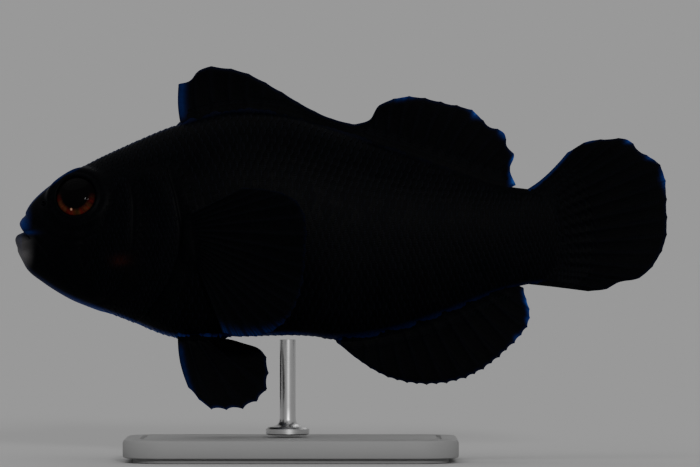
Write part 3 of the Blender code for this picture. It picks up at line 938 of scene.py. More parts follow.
def turned(outline, middle, axis, columns, sign=1, squeeze=1.0):
    """Rings of places where an outline, as (radius, rise), goes round the axis."""
    first = sign * unit(np.cross(axis, (0, 0, 1)))
    second = sign * np.cross(first, axis) * squeeze
    turn = np.arange(columns)[None, :, None] * math.tau / columns
    radius, rise = np.moveaxis(np.array(outline)[:, None, None, :], -1, 0)
    return middle + rise * axis + radius * (np.cos(turn) * first + np.sin(turn) * second)


def plain_marks(count):
    """What the skin's finish reads, for flesh with no markings that isn't part of a fin."""
    return {"marks": np.zeros((count, 3)), "lay": np.zeros((count, 3)), "fin": np.zeros(count)}


def flesh_ring(name, outline, middle, axis, columns, squeeze=1.0):
    """A closed ring of flesh round an axis. Its lowest part lies under the skin."""
    places = turned(outline, middle, axis, columns, squeeze=squeeze).reshape(-1, 3)
    at = np.arange(len(places)).reshape(len(outline), columns)
    after, along = np.roll(at, -1, axis=0), np.roll(at, -1, axis=1)
    faces = np.stack([at, after, np.roll(after, -1, axis=1), along], axis=-1).reshape(-1, 4)
    return make_mesh(name, places, faces.tolist(), **plain_marks(len(places)))


def rings_of_flesh(places):
    """A lid round each eye and a low rim round each nostril, set on the finished grid of the skin."""
    facing = grid_normals(places).reshape(-1, 3)
    places = places.reshape(-1, 3)
    out_of_reach, ring_radius = 9.0, 0.7
    rings = []
    for side, sign in SIDES:
        rings.append(flesh_ring(f"eyelid_{side}", EYELID, *eye_frame(sign), EYE_COLUMNS))
        off = np.hypot(places[:, 0] - NOSTRIL[0], places[:, 2] - NOSTRIL[1])
        off += out_of_reach * (places[:, 1] * sign < 0)
        around = np.argsort(np.abs(off - ring_radius))[:12]
        axis = unit(facing[around].mean(axis=0))
        middle = places[around].mean(axis=0)
        rings.append(flesh_ring(f"nostril_{side}", NOSTRIL_RIM, middle, axis, NOSTRIL_COLUMNS, squeeze=0.8))
    return rings


def join_flesh(skin, shells):
    """Joins closed meshes to the skin as one closed surface. The meshes are used up."""
    grafts = bpy.data.collections.new("grafts")
    bpy.context.scene.collection.children.link(grafts)
    for shell in shells:
        add_object(shell.name, shell, grafts)
    join = skin.modifiers.new("join", "BOOLEAN")
    join.operation = "UNION"
    join.solver = "MANIFOLD"
    join.operand_type = "COLLECTION"
    join.collection = grafts
    applied(skin)
    for graft in list(grafts.objects):
        old = graft.data
        bpy.data.objects.remove(graft)
        bpy.data.meshes.remove(old)
    bpy.data.collections.remove(grafts)


def make_skin():
    """Body, fins, eyelids and nostrils, joined into one closed surface."""
    places = body_places()
    flat = places.reshape(-1, 3)
    marks = plain_marks(len(flat)) | {"marks": body_marks(flat)}
    skin = add_object("skin", make_mesh("skin", flat, body_faces(len(places)), **marks))
    fins = [fin_shell(name, **design) for name, design in fin_designs().items()]
    join_flesh(skin, fins + rings_of_flesh(places))
    shade(skin.data, 60)
    skin.data.materials.clear()
    skin.data.materials.append(skin_finish())
    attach(skin, "root")
    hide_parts(*(name for name in frame["nodes"] if not name.startswith(("eye_", "stand_"))))
    return skin


# --- Finishes -------------------------------------------------------------------------------------


class Term:
    """What a node's socket gives, for use in plain sums."""

    def __init__(self, finish, socket):
        self.finish, self.socket = finish, socket

    def sum(self, operation, *others):
        return self.finish.node("Math", {"operation": operation}, [self, *others])

    def __add__(self, other):
        return self.sum("ADD", other)

    def __sub__(self, other):
        return self.sum("SUBTRACT", other)

    def __mul__(self, other):
        return self.sum("MULTIPLY", other)

    def __rsub__(self, other):
        return (self * -1) + other

    __radd__, __rmul__ = __add__, __mul__

    def clamped(self):
        return self.finish.node("Clamp", {}, [self, 0.0, 1.0])

    def eased(self, low, high):
        """0 at low, 1 at high, and an easy slope between them."""
        share = {"interpolation_type": "SMOOTHSTEP"}
        if low < high:
            return self.finish.node("MapRange", share, {"Value": self, "From Min": low, "From Max": high})
        return 1 - self.eased(high, low)

    def bell(self, breadth):
        """1 at 0, easing to 0 at the breadth on either side."""
        return self.sum("ABSOLUTE").eased(breadth, 0)


def feed(tree, socket, value):
    """Links a node's output to a socket, or sets a plain value on it."""
    value = value.socket if isinstance(value, Term) else value
    if isinstance(value, bpy.types.NodeSocket):
        tree.links.new(value, socket)
    else:
        socket.default_value = value


class Finish:
    """A material that is built node by node."""

    def __init__(self, name, **constants):
        self.material = bpy.data.materials.new(name)
        self.material.use_nodes = True
        self.tree = self.material.node_tree
        self.shader = self.tree.nodes["Principled BSDF"]
        for key, value in constants.items():
            self.shader.inputs[key.replace("_", " ")].default_value = value

    def node(self, kind, settings, inputs=(), output=None):
        """A node of this kind, with its settings first and then the values or links of its sockets."""
        made = self.tree.nodes.new(f"ShaderNode{kind}")
        for key, value in settings.items():
            setattr(made, key, value)
        pairs = inputs.items() if isinstance(inputs, dict) else enumerate(inputs)
        for key, value in pairs:
            feed(self.tree, made.inputs[key], value)
        outputs = [s for s in made.outputs if s.enabled]
        return Term(self, made.outputs[output] if output else outputs[0])

    def gives(self, **inputs):
        """Feeds the shader."""
        for key, value in inputs.items():
            feed(self.tree, self.shader.inputs[key.replace("_", " ")], value)

    def place(self):
        return self.node("TexCoord", {}, output="Object")

    def attribute(self, name, output="Vector"):
        return self.node("Attribute", {"attribute_name": name}, output=output)

    def parts(self, vector):
        """The three numbers of a vector."""
        made = self.node("SeparateXYZ", {}, [vector]).socket.node
        return [Term(self, socket) for socket in made.outputs]

    def vector(self, x, y, z):
        return self.node("CombineXYZ", {}, [x, y, z])

    def stretched(self, vector, by):
        return self.node("VectorMath", {"operation": "MULTIPLY"}, [vector, by])

    def mixed(self, share, one, other):
        """One colour where share is 0, and the other where it is 1."""
        made = self.tree.nodes.new("ShaderNodeMix")
        made.data_type = "RGBA"
        # By number, because the node has sockets of the same names for other kinds of value
        factor, first, second, mix = made.inputs[0], made.inputs[6], made.inputs[7], made.outputs[2]
        for socket, value in ((factor, share), (first, one), (second, other)):
            feed(self.tree, socket, (*value, 1) if isinstance(value, tuple) else value)
        return Term(self, mix)

    def noise(self, vector, scale, detail=3.0):
        inputs = {"Vector": vector, "Scale": scale, "Detail": detail, "Roughness": 0.55}
        return self.node("TexNoise", {}, inputs)

    def bumped(self, height, depth):
        """The normal of a surface raised by depth metres where height is 1."""
        return self.node("Bump", {}, {"Height": height, "Distance": depth, "Strength": 1.0})


def paint_markings(finish, wear):
    """The fish's colours, the same on skin and scales: black, with painted blue rim light at its edges, a
    grey chin and a brown cheek.

    Wear is how much of the black is paler. Gives the fine grain as well, for a finish to use again.
    """
    look = bpy.context.scene.clownfish.body
    place = finish.place()
    blue, grey, brown = finish.parts(finish.attribute("marks"))
    mottle = finish.noise(place, 420.0)
    fine = finish.noise(place, 2300.0, 2.0)
    black = finish.mixed(mottle, tuple(look.black), tuple(c * 2.1 for c in look.black))
    black = finish.mixed((fine * wear).eased(0.35, 0.8) * 0.6, black, tuple(look.sheen_black))
    patches = finish.noise(finish.stretched(place, (1.0, 1.0, 1.6)), 900.0)
    # Painted blue rim light, with painted highlights where it is strongest
    blue = blue * (0.55 + patches * 0.9)
    coloured = finish.mixed((brown * patches * 1.4).clamped(), black, tuple(look.brown))
    coloured = finish.mixed(blue.clamped(), coloured, tuple(look.blue))
    coloured = finish.mixed((blue - 0.8).clamped(), coloured, tuple(look.painted_rim_highlight))
    pale = (grey * (0.7 + patches * 0.6)).clamped()
    return finish.mixed(pale, coloured, tuple(look.grey)), fine


def fish_finish(name):
    """The shine of skin and scales: hardly any, with a faint blue sheen."""
    sheen = {"Sheen_Weight": 0.006, "Sheen_Roughness": 0.4, "Sheen_Tint": (0.1, 0.35, 1.0, 1.0)}
    return Finish(name, Specular_IOR_Level=0.025, **sheen)


def skin_finish():
    """Smooth black skin: fine pores, and jointed rays in the fins."""
    finish = fish_finish("fish skin")
    ray_colour = tuple(bpy.context.scene.clownfish.fins.ray_colour)
    finned = finish.attribute("fin", "Fac")
    ray, length, share = finish.parts(finish.attribute("lay"))
    colour, fine = paint_markings(finish, 1.0)
    joints = (length * 2.9 + (ray * 7.0).sum("SINE") * 0.3).sum("FRACT")
    joint = (joints - 0.5).bell(0.16) * share.eased(0.12, 0.3)
    fibres = finish.noise(finish.vector(ray * 26.0, length * 0.7, 0.0), 1.0, 2.0)
    on_ray = (ray - ray.sum("ROUND")).bell(0.22)
    relief = (fine * 0.35 + finish.noise(finish.place(), 700.0) * 0.65) * (1 - finned)
    relief = relief + (fibres * 0.8 - joint * on_ray * 0.5) * finned
    colour = finish.mixed((finned * on_ray * 0.35).clamped(), colour, ray_colour)
    finish.gives(
        Base_Color=colour,
        Roughness=(0.36 + fine * 0.18 + finned * 0.1).clamped(),
        Normal=finish.bumped(relief, 0.00005),
    )
    return finish.material


# --- Eyes -----------------------------------------------------------------------------------------


def make_eye(side, sign):
    """An eyeball with a domed pupil, a ring of iris round it and a dark rim, as one closed turned shape."""
    middle, axis = eye_frame(sign)
    turns = np.arange(EYE_COLUMNS) * math.tau / EYE_COLUMNS
    radius = EYE_RADIUS * np.sin(EYE_TILTS)
    front = EYE_TILTS < math.pi / 2
    pupil = bpy.context.scene.clownfish.eyes.pupil / MM
    dome, ring = smooth(radius, pupil * 1.02, pupil * 0.9), bump(radius - pupil - 0.14, 0.09)
    rise = EYE_DEPTH * np.cos(EYE_TILTS) - EYE_SINK + front * (0.05 * dome + 0.03 * ring)
    outline = np.stack([radius, rise], axis=-1)
    places = turned(outline, middle, axis, EYE_COLUMNS, sign=-sign)
    seen = np.where(front, radius, EYE_RADIUS + 1)
    fan = np.stack(np.broadcast_arrays(seen[:, None], np.cos(turns), np.sin(turns)), axis=-1)
    faces = capped_faces(len(outline), EYE_COLUMNS)
    mesh = make_mesh(f"eyeball_{side}", places.reshape(-1, 3), faces, lay=fan.reshape(-1, 3))
    shade(mesh, 75)
    eye = add_object(mesh.name, mesh)
    mesh.materials.append(eye_finish())
    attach(eye, "root")
    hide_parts(f"eye_{side}")
    return eye


def eye_finish():
    """A glossy eye: black pupil, copper iris that is brightest below and near black above, partly its own
    colour and partly painted light below and painted shade above, and a dark rim.
    """
    known = bpy.data.materials.get("fish eye")
    if known:
        return known
    look = bpy.context.scene.clownfish.eyes
    finish = Finish("fish eye", Coat_Weight=0.04, Coat_Roughness=0.06, Specular_IOR_Level=0.01)
    radius, forward, up = finish.parts(finish.attribute("lay"))
    pupil = look.pupil / MM
    fibres = finish.noise(finish.vector(forward * 9.0, up * 9.0, radius * 1.2), 1.6, 3.0)
    patches = finish.noise(finish.vector(forward * 2.1, up * 2.1, 5.0), 1.5, 2.0)
    clouds = finish.noise(finish.vector(forward * 2.6, up * 2.6, radius * 0.8), 1.4, 2.0)
    ring = radius.eased(pupil - 0.12, pupil + 0.5) * radius.eased(EYE_RIM + 0.2, EYE_RIM - 0.25)
    # Only the lower iris shows its colour: the dark above is partly the iris's own and partly painted shade,
    # the brightness below partly painted light
    below = (up * -1).eased(-0.25, 0.7)
    bright = (ring * below * (clouds * 1.5 - 0.1) * (0.35 + fibres * 0.9)).clamped()
    # A painted glint on the lower iris
    across, down = forward * radius - 0.42, up * radius + 2.0
    spark = (across * across + down * down).sum("SQRT").bell(0.24)
    iris = finish.mixed(patches.eased(0.44, 0.56), tuple(look.iris), tuple(look.iris_brown))
    golden = (forward + 0.12).bell(0.28) * up.eased(0, -0.6)
    iris = finish.mixed(golden * 0.8, iris, tuple(look.iris_gold))
    colour = finish.mixed(bright, tuple(look.rim), iris)
    colour = finish.mixed(spark, colour, tuple(look.painted_glint))
    finish.gives(
        Base_Color=colour,
        Roughness=(0.5 - ring * 0.12 + fibres * 0.1).clamped(),
        Metallic=(bright * 0.3).clamped(),
        Normal=finish.bumped(fibres * ring, 0.00003),
    )
    return finish.material


# --- Scales ---------------------------------------------------------------------------------------

# A scale's width at places from root to free edge, and the point under the skin to which its underside runs
SCALE_OUTLINE = [(0.0, 0.55), (0.3, 0.94), (0.62, 1.0), (0.86, 0.82), (1.0, 0.5)]
SCALE_PEG = (0.45, 0.0, -0.9)

# How large scales are along the body, against those of the flank, and on the cheek
SIZE_ALONG = [
    (8, 0.50), (13, 0.60), (19, 0.78), (27, 1.0), (36, 1.0), (50, 0.90), (62, 0.80), (70, 0.68), (76, 0.5),
]
CHEEK_SIZE = 0.62

# Where the head's small scales end above and below, and the row of pored scales: height at a place along
TEMPLE = [(9, 8.2), (14, 8.2), (21, 9.0)]
THROAT = [(9, -10.6), (13, -12.2), (16.5, -14.2)]
PORED_LINE = [(21, 9.0), (30, 11.6), (42, 9.8), (52, 6.6), (60, 4.6)]

# Spans along the body: the rows of scales on body and head, the row of pored scales, and the fins above and
# below, whose feet keep scales off
BODY_ROWS, HEAD_ROWS = (8.4, 75.2), (8.0, 23.5)
PORED_SPAN = (21, 58)
DORSAL_SPAN, ANAL_SPAN = (22.6, 69.0), (44, 69.2)

# At how many places half a section's length is measured, the most rows of scales above or below the middle of
# the flank, and the millimetres inside the scaled part where nothing near bounds it
TURN_STEPS = 121
MOST_ROWS = 34
FREE = 9

# How far a scale's edge may lie from the skin, sideways and up or down, in metres, and how alike the two face
MOST_SLIP, MOST_GAP, LEAST_ALIKE = 0.00013, 0.0006, 0.75
SHORTENED = (1.0, 0.85, 0.7, 0.55)
TONE_SEED = 7

# How large a scale's own patch of the unwrap is, and the millimetres between a piece's groups on it
PATCH = 0.003
UNWRAP_SHIFT = {"scales_body_left": 0, "scales_body_right": 0, "scales_head": 40, "scales_fins": 30}

# The scaled part of each fin: from and to across it, from how far out, and how far apart the scales stand
SCALED_FINS = {
    "dorsal_fin": (0.02, 0.98, 0.6, 0.52),
    "anal_fin": (0.03, 0.96, 0.8, 0.52),
    "caudal_fin": (0.07, 0.93, 4.2, 0.6),
}


def scale_shape(name, pored):
    """One scale: a thin tongue, rounded behind and domed across. Its root lies under the skin.

    Its x runs from root to free edge, y across it and z out of the skin, each as a share of its size.
    """
    across = np.linspace(-1, 1, 7)
    places = []
    for x, width in SCALE_OUTLINE:
        for y in across:
            bent = x - 0.16 * y * y * max(x - 0.5, 0)
            lift = 1.5 * bent - 0.5 - 0.24 * bent * (y * width) ** 2
            tube = 0.35 * bump(y, 0.2) * bump(bent - 0.62, 0.25) if pored else 0.0
            places.append((bent, 0.5 * y * width, lift + tube))
    top = np.arange(len(places)).reshape(len(SCALE_OUTLINE), len(across))
    quads = np.stack([top[:-1, :-1], top[1:, :-1], top[1:, 1:], top[:-1, 1:]], axis=-1)
    faces = quads.reshape(-1, 4).tolist()
    edge = np.concatenate([top[0, :-1], top[:-1, -1], top[-1, :0:-1], top[:0:-1, 0]]).tolist()
    faces += [(one, other, len(places)) for one, other in zip(edge, edge[1:] + edge[:1])]
    places.append(SCALE_PEG)
    mesh = bpy.data.meshes.new(name)
    mesh.from_pydata(places, [], faces)
    keep_vectors(mesh, "within", places)
    mesh.shade_smooth()
    return mesh


def skin_place(along, turn):
    """A place on the body before relief, also over the thinned end of the tail stalk."""
    beyond = np.clip((along - BODY_END) / TAIL_WEDGE, 0, 1)
    place = place_on_body(np.minimum(along, BODY_END), turn)
    place[..., 0] = along
    place[..., 1] *= 1 - beyond**WEDGE_FULLNESS
    place[..., 2] = WEDGE_MIDDLE + (place[..., 2] - WEDGE_MIDDLE) * (1 - WEDGE_LOWERING * beyond)
    return place


def lattice(first, last, row, step, size):
    """(along, turn, arc, size) for roots in staggered rows that run parallel to the middle of the flank."""
    stops, at = [first], first
    while at < last:
        at += step * size(at) / 2
        stops.append(at)
    rows = np.arange(-MOST_ROWS, MOST_ROWS + 1)
    along, count = np.meshgrid(stops, rows, indexing="ij")
    # Every second place, so that each row is half a step out of line with the next
    keep = (np.arange(len(stops))[:, None] + rows) % 2 == 0
    along, count = along[keep], count[keep]
    scale = size(along)
    arc = count * row * scale
    turns = np.linspace(0, math.pi, TURN_STEPS)
    ring = skin_place(along[:, None], turns[None, :])
    lengths = np.cumsum(np.linalg.norm(np.diff(ring, axis=1, prepend=ring[:, :1]), axis=2), axis=1)
    lengths -= lengths[:, TURN_STEPS // 2, None]
    turn = np.array([np.interp(-a, line, turns, left=np.nan, right=np.nan) for a, line in zip(arc, lengths)])
    good = np.isfinite(turn)
    return along[good], turn[good], arc[good], scale[good]


def roots_on_side(sign, along, turn, arc, scale):
    """Where scales stand on one side and how they lie: each points back along the body."""
    turn = turn * sign
    place = skin_place(along, turn)
    back = unit(skin_place(along + 0.1, turn) - skin_place(along - 0.1, turn))
    down = skin_place(along, turn + 0.01) - skin_place(along, turn - 0.01)
    out = unit(np.cross(back, down))
    unwrap = np.stack([along, arc], axis=-1)
    return {"place": place, "back": back, "out": out, "scale": scale, "unwrap": unwrap}


def head_limits(along, height):
    """How far places lie behind the gill line, above the temple and below the throat."""
    behind = along - gill_line_at(height)
    return behind, height - np.interp(along, *zip(*TEMPLE)), np.interp(along, *zip(*THROAT)) - height


def inside_body_scales(along, turn, aside, height):
    """How far places lie inside the body's scales, clear of the head, fins' feet and side fins' lobes."""
    behind, over_temple, under_throat = head_limits(along, height)
    free = np.maximum.reduce([behind - 0.3, over_temple, under_throat])
    lobe = 2.5 * (np.hypot((along - 24.5) / 1.8, (height + 1.0) / 4.2) - 1)
    finned = between(along, *DORSAL_SPAN) & (height > 0) | between(along, *ANAL_SPAN) & (height < 0)
    beside_fins = np.where(finned, 3 * (aside - 0.75), np.where(along > 60, 8 * (np.sin(turn) - 0.3), FREE))
    pelvic = np.hypot(np.maximum(np.abs(along - 25.4) - 2.9, 0), aside - PELVIC_ASIDE)
    beside_pelvic = np.where(height < -11, 2 * (pelvic - 0.7), FREE)
    return np.minimum.reduce([free, inside_coat(along, height) + 0.2, lobe, beside_fins, beside_pelvic])


def inside_head_scales(along, height):
    """How far places lie inside the head's scales, clear of the grooves round its plates."""
    behind, over_temple, under_throat = head_limits(along, height)
    ridge = np.abs(beside(along, height, CHEEK_PLATE)) - 0.42
    eye_plate = np.where(along < EYE_PLATE[-1][0], 0.3 - beside(along, height, EYE_PLATE), FREE)
    band = [-0.7 - behind, -over_temple - 0.2, -under_throat - 0.2]
    return np.minimum.reduce([ridge, eye_plate, inside_coat(along, height) + 0.2, *band])


def body_roots(sign):
    """Scales of the trunk, tail stalk, nape and breast."""
    sizes = bpy.context.scene.clownfish.scales
    row, step = sizes.row / MM, sizes.step / MM
    along, turn, arc, scale = lattice(*BODY_ROWS, row, step, lambda at: np.interp(at, *zip(*SIZE_ALONG)))
    _, aside, height = skin_place(along, turn).T
    inside = inside_body_scales(along, turn, np.abs(aside), height)
    keep = inside > 0
    along, turn, arc, height = along[keep], turn[keep], arc[keep], height[keep]
    scale = scale[keep] * (0.5 + 0.5 * smooth(inside[keep], 0, 1.7))
    roots = roots_on_side(sign, along, turn, arc, scale)
    off_line = np.abs(height - np.interp(along, *zip(*PORED_LINE)))
    roots["pored"] = (off_line < 0.52 * row * scale) & between(along, *PORED_SPAN)
    return roots


def head_roots(sign):
    """Small scales of the cheek and the gill cover."""
    sizes = bpy.context.scene.clownfish.scales
    row, step = CHEEK_SIZE * sizes.row / MM, CHEEK_SIZE * sizes.step / MM
    along, turn, arc, _ = lattice(*HEAD_ROWS, row, step, constant(1.0))
    inside = inside_head_scales(along, skin_place(along, turn)[:, 2])
    keep = inside > 0
    scale = CHEEK_SIZE * (0.5 + 0.5 * smooth(inside[keep], 0, 1.1))
    roots = roots_on_side(sign, along[keep], turn[keep], arc[keep], scale)
    roots["pored"] = np.zeros(keep.sum(), bool)
    return roots


def fin_roots(design, start, stop, first, spacing):
    """Small scales on both sides of a fin's foot, from first millimetres out to where its flesh ends."""
    path, sheath = design["path"], design["sheath"]

    def on_rays(share, across):
        return path(share * np.ones((1, len(across))), across)[0]

    found = []
    across = np.linspace(start, stop, 60)
    feet = on_rays(0, across)
    run = np.cumsum(np.linalg.norm(np.diff(feet, axis=0, prepend=feet[:1]), axis=1))
    for row in range(60):
        distance = first + row * spacing * 0.8
        at = np.interp(np.arange(0.3, run[-1], spacing * 1.1) + (row % 2) * spacing * 0.55, run, across)
        length = np.linalg.norm(on_rays(1, at) - on_rays(0, at), axis=1)
        left = np.minimum(sheath(at), 0.6 * length) - distance
        keep = left > 0
        if not keep.any():
            break
        at, length, left = at[keep], length[keep], left[keep]
        share = distance / length
        place = on_rays(share, at)
        back = unit(on_rays(share + 0.02, at) - place)
        side = unit(on_rays(share, at + 0.004) - place)
        extra = np.stack([run[-1] * at, share * length, 0.6 + 0.4 * smooth(left, 0, 1.4)], axis=-1)
        found.append(np.concatenate([place, back, np.cross(side, back), extra], axis=1))
    rows = np.concatenate(found)
    place, back, out, unwrap, scale = np.split(rows, [3, 6, 9, 11], axis=1)
    out = unit(out)
    return {
        "place": np.concatenate([place + out * 0.4, place - out * 0.4]),
        "back": np.concatenate([back, back]),
        "out": np.concatenate([out, -out]),
        "scale": np.tile(scale[:, 0], 2) * spacing * MM / bpy.context.scene.clownfish.scales.step,
        "unwrap": np.concatenate([unwrap, unwrap + (0, 12)]),
        "pored": np.zeros(2 * len(rows), bool),
    }


def lies_flat(surface, root, back, out, scale):
    """Whether a scale finds smooth skin under its free edge and under both its sides."""
    sizes = bpy.context.scene.clownfish.scales
    aside = np.cross(out, back) * 0.35 * sizes.width * scale
    behind = back * sizes.length * scale
    for spot in (root + 1.02 * behind, root + 0.6 * behind + aside, root + 0.6 * behind - aside):
        found, facing, _, _ = surface.find_nearest(Vector(spot))
        off = np.array(found) - spot
        gap = off @ out
        slip = np.linalg.norm(off - gap * out)
        if slip > MOST_SLIP or abs(gap) > MOST_GAP or facing.dot(Vector(out)) < LEAST_ALIKE:
            return False
    return True


def lying_flat(roots, surface):
    """The roots whose scale finds smooth skin under all of it, shortened near a fold or an edge."""
    shares = []
    for place, back, scale in zip(world(roots["place"]), roots["back"], roots["scale"]):
        root, facing, _, _ = surface.find_nearest(Vector(place))
        root, out = np.array(root), np.array(facing)
        back = back - (back @ facing) * out
        fits = (share for share in SHORTENED if lies_flat(surface, root, back, out, share * scale))
        shares.append(next(fits, 0))
    shares = np.array(shares)
    fitted = {key: values[shares > 0] for key, values in roots.items()}
    fitted["scale"] = fitted["scale"] * shares[shares > 0]
    return fitted


def root_cloud(name, groups):
    """A mesh of points with what each scale needs: how it lies, its size and its place on the unwrap."""
    sizes = bpy.context.scene.clownfish.scales
    joined = {key: np.concatenate([group[key] for group in groups]) for key in groups[0]}
    count = len(joined["place"])
    mesh = bpy.data.meshes.new(name)
    mesh.from_pydata(world(joined["place"]), [], [])
    out, back = joined["out"], joined["back"]
    back = unit(back - (back * out).sum(axis=1, keepdims=True) * out)
    frames = np.stack([back, np.cross(out, back), out], axis=-1)
    lie = np.array([Matrix(rows).to_quaternion() for rows in frames.tolist()])
    low, high = joined["unwrap"].min(axis=0), joined["unwrap"].max(axis=0)
    spread = 0.01 + 0.98 * (joined["unwrap"] - low) / (high - low)
    scale = joined["scale"]
    lift = sizes.coat * np.minimum(1, 1.2 * scale)
    size = np.stack([scale * sizes.length, scale * sizes.width, lift], axis=-1)
    for key, kind, field, values in (
        ("lie", "QUATERNION", "value", lie),
        ("size", "FLOAT_VECTOR", "vector", size),
        ("root", "FLOAT_VECTOR", "vector", np.concatenate([spread, np.zeros((count, 1))], axis=1)),
        ("pored", "BOOLEAN", "value", joined["pored"]),
    ):
        values = values.astype(bool if kind == "BOOLEAN" else np.float32)
        mesh.attributes.new(key, kind, "POINT").data.foreach_set(field, values.ravel())
    return add_object(name, mesh)


class Planting:
    """A Geometry Nodes tree that sets a scale on every root and presses it to the skin."""

    INPUTS = {
        "Roots": "Geometry",
        "Skin": "Object",
        "Scale": "Object",
        "Pored Scale": "Object",
        "Finish": "Material",
        "Seed": "Int",
        "Straying": "Float",
        "Patch": "Float",
    }

    def __init__(self):
        self.tree = bpy.data.node_groups.new("scale planting", "GeometryNodeTree")
        interface = self.tree.interface
        self.sockets = {
            name: interface.new_socket(name, in_out="INPUT", socket_type=f"NodeSocket{kind}")
            for name, kind in self.INPUTS.items()
        }
        interface.new_socket("Coat", in_out="OUTPUT", socket_type="NodeSocketGeometry")
        self.given = self.tree.nodes.new("NodeGroupInput").outputs
        settled = self.settled(self.planted())
        inputs = {"Geometry": self.unwrapped(settled), "Material": self.given["Finish"]}
        dressed = self.node("GeometryNodeSetMaterial", {}, inputs)
        self.node("NodeGroupOutput", {}, {0: dressed.outputs[0]})

    def node(self, kind, settings, inputs):
        made = self.tree.nodes.new(kind)
        for key, value in settings.items():
            setattr(made, key, value)
        for key, value in inputs.items():
            feed(self.tree, made.inputs[key], value)
        return made

    def named(self, name, kind="FLOAT_VECTOR"):
        """What an attribute holds."""
        found = self.node("GeometryNodeInputNamedAttribute", {"data_type": kind}, {"Name": name})
        return next(s for s in found.outputs if s.enabled and s.name == "Attribute")

    def number(self, operation, one, other):
        return self.node("ShaderNodeMath", {"operation": operation}, {0: one, 1: other}).outputs[0]

    def moved(self, place, by):
        return self.node("ShaderNodeVectorMath", {"operation": "ADD"}, {0: place, 1: by}).outputs[0]

    def scaled(self, vector, by):
        return self.node("ShaderNodeVectorMath", {"operation": "SCALE"}, {0: vector, "Scale": by}).outputs[0]

    def height_of(self, vector):
        return self.node("ShaderNodeSeparateXYZ", {}, {0: vector}).outputs["Z"]

    def random(self, seed):
        """A number from 0 to 1 for each scale. The node's second output is the one for plain numbers."""
        return self.node("FunctionNodeRandomValue", {"data_type": "FLOAT"}, {"Seed": seed}).outputs[1]

    def read(self, name):
        """The geometry of an object that the tree is given."""
        return self.node("GeometryNodeObjectInfo", {}, {"Object": self.given[name]}).outputs["Geometry"]

    def lie(self):
        """How each scale lies: as its root says, and a little out of line."""
        centred = self.number("SUBTRACT", self.random(self.given["Seed"]), 0.5)
        angle = self.number("MULTIPLY", centred, self.given["Straying"])
        yaw = self.node("ShaderNodeCombineXYZ", {}, {"Z": angle})
        turn = self.node("FunctionNodeEulerToRotation", {}, {0: yaw.outputs[0]})
        inputs = {"Rotation": self.named("lie", "QUATERNION"), "Rotate By": turn.outputs[0]}
        return self.node("FunctionNodeRotateRotation", {"rotation_space": "LOCAL"}, inputs).outputs[0]

    def planted(self):
        """A scale on every root, each with a tone of its own, as one mesh."""
        lie, pored = self.lie(), self.named("pored", "BOOLEAN")
        plain = self.node("FunctionNodeBooleanMath", {"operation": "NOT"}, {0: pored}).outputs[0]
        join = self.node("GeometryNodeJoinGeometry", {}, {})
        for shape, chosen in (("Scale", plain), ("Pored Scale", pored)):
            inputs = {
                "Points": self.given["Roots"],
                "Selection": chosen,
                "Instance": self.read(shape),
                "Rotation": lie,
                "Scale": self.named("size"),
            }
            planted = self.node("GeometryNodeInstanceOnPoints", {}, inputs)
            self.tree.links.new(planted.outputs[0], join.inputs[0])
        settings = {"data_type": "FLOAT", "domain": "INSTANCE"}
        inputs = {"Geometry": join.outputs[0], "Name": "tone", "Value": self.random(TONE_SEED)}
        toned = self.node("GeometryNodeStoreNamedAttribute", settings, inputs)
        return self.node("GeometryNodeRealizeInstances", {}, {0: toned.outputs[0]}).outputs[0]

    def settled(self, scales):
        """The scales pressed to the skin: each point goes to the nearest skin, and up by its own height."""
        skin = self.read("Skin")
        nearest = self.node("GeometryNodeProximity", {"target_element": "FACES"}, {0: skin})
        normal = self.node("GeometryNodeInputNormal", {}, {}).outputs[0]
        settings, inputs = {"data_type": "FLOAT_VECTOR"}, {"Mesh": skin, "Value": normal}
        facing = self.node("GeometryNodeSampleNearestSurface", settings, inputs).outputs[0]
        height, lift = self.height_of(self.named("within")), self.height_of(self.named("size"))
        raised = self.scaled(facing, self.number("MULTIPLY", height, lift))
        inputs = {"Geometry": scales, "Position": self.moved(nearest.outputs["Position"], raised)}
        return self.node("GeometryNodeSetPosition", {}, inputs).outputs[0]

    def unwrapped(self, scales):
        """Each scale as a small patch of its own on the UV map, where its root stands."""
        patch = self.scaled(self.moved(self.named("within"), (-0.5, 0.0, 0.0)), self.given["Patch"])
        spot = self.moved(self.named("root"), patch)
        settings = {"data_type": "FLOAT2", "domain": "CORNER"}
        inputs = {"Geometry": scales, "Name": "OFBake", "Value": spot}
        return self.node("GeometryNodeStoreNamedAttribute", settings, inputs).outputs[0]

    def plant(self, name, cloud, **inputs):
        """The scales on one cloud of roots, as a plain mesh. The cloud is used up."""
        cloud.name = name
        modifier = cloud.modifiers.new("planting", "NODES")
        modifier.node_group = self.tree
        for key, value in inputs.items():
            modifier[self.sockets[key.replace("_", " ")].identifier] = value
        return applied(cloud)


def scale_finish():
    """Black scales with a faint sheen, fine growth rings and a slightly paler free edge."""
    finish = fish_finish("fish scale")
    edge_colour = tuple(bpy.context.scene.clownfish.scales.edge)
    tone = finish.attribute("tone", "Fac")
    within_along, within_across, _ = finish.parts(finish.attribute("within"))
    colour, fine = paint_markings(finish, 0.7 + tone * 0.6)
    edge = within_along.eased(0.82, 1.0)
    colour = finish.mixed(edge * 0.35, colour, edge_colour)
    off = finish.vector(within_along - 0.15, within_across * 0.9, 0.0)
    radius = finish.node("VectorMath", {"operation": "LENGTH"}, [off], output="Value")
    rings = (radius * 110.0).sum("SINE") * 0.5 + 0.5
    rays = (within_across * 60.0).sum("SINE") * within_along.eased(0.55, 0.95)
    relief = rings * 0.5 + rays * 0.35 + fine * 0.6
    finish.gives(
        Base_Color=colour,
        Roughness=(0.30 + tone * 0.10 + fine * 0.14).clamped(),
        Normal=finish.bumped(relief, 0.000012),
    )
    return finish.material


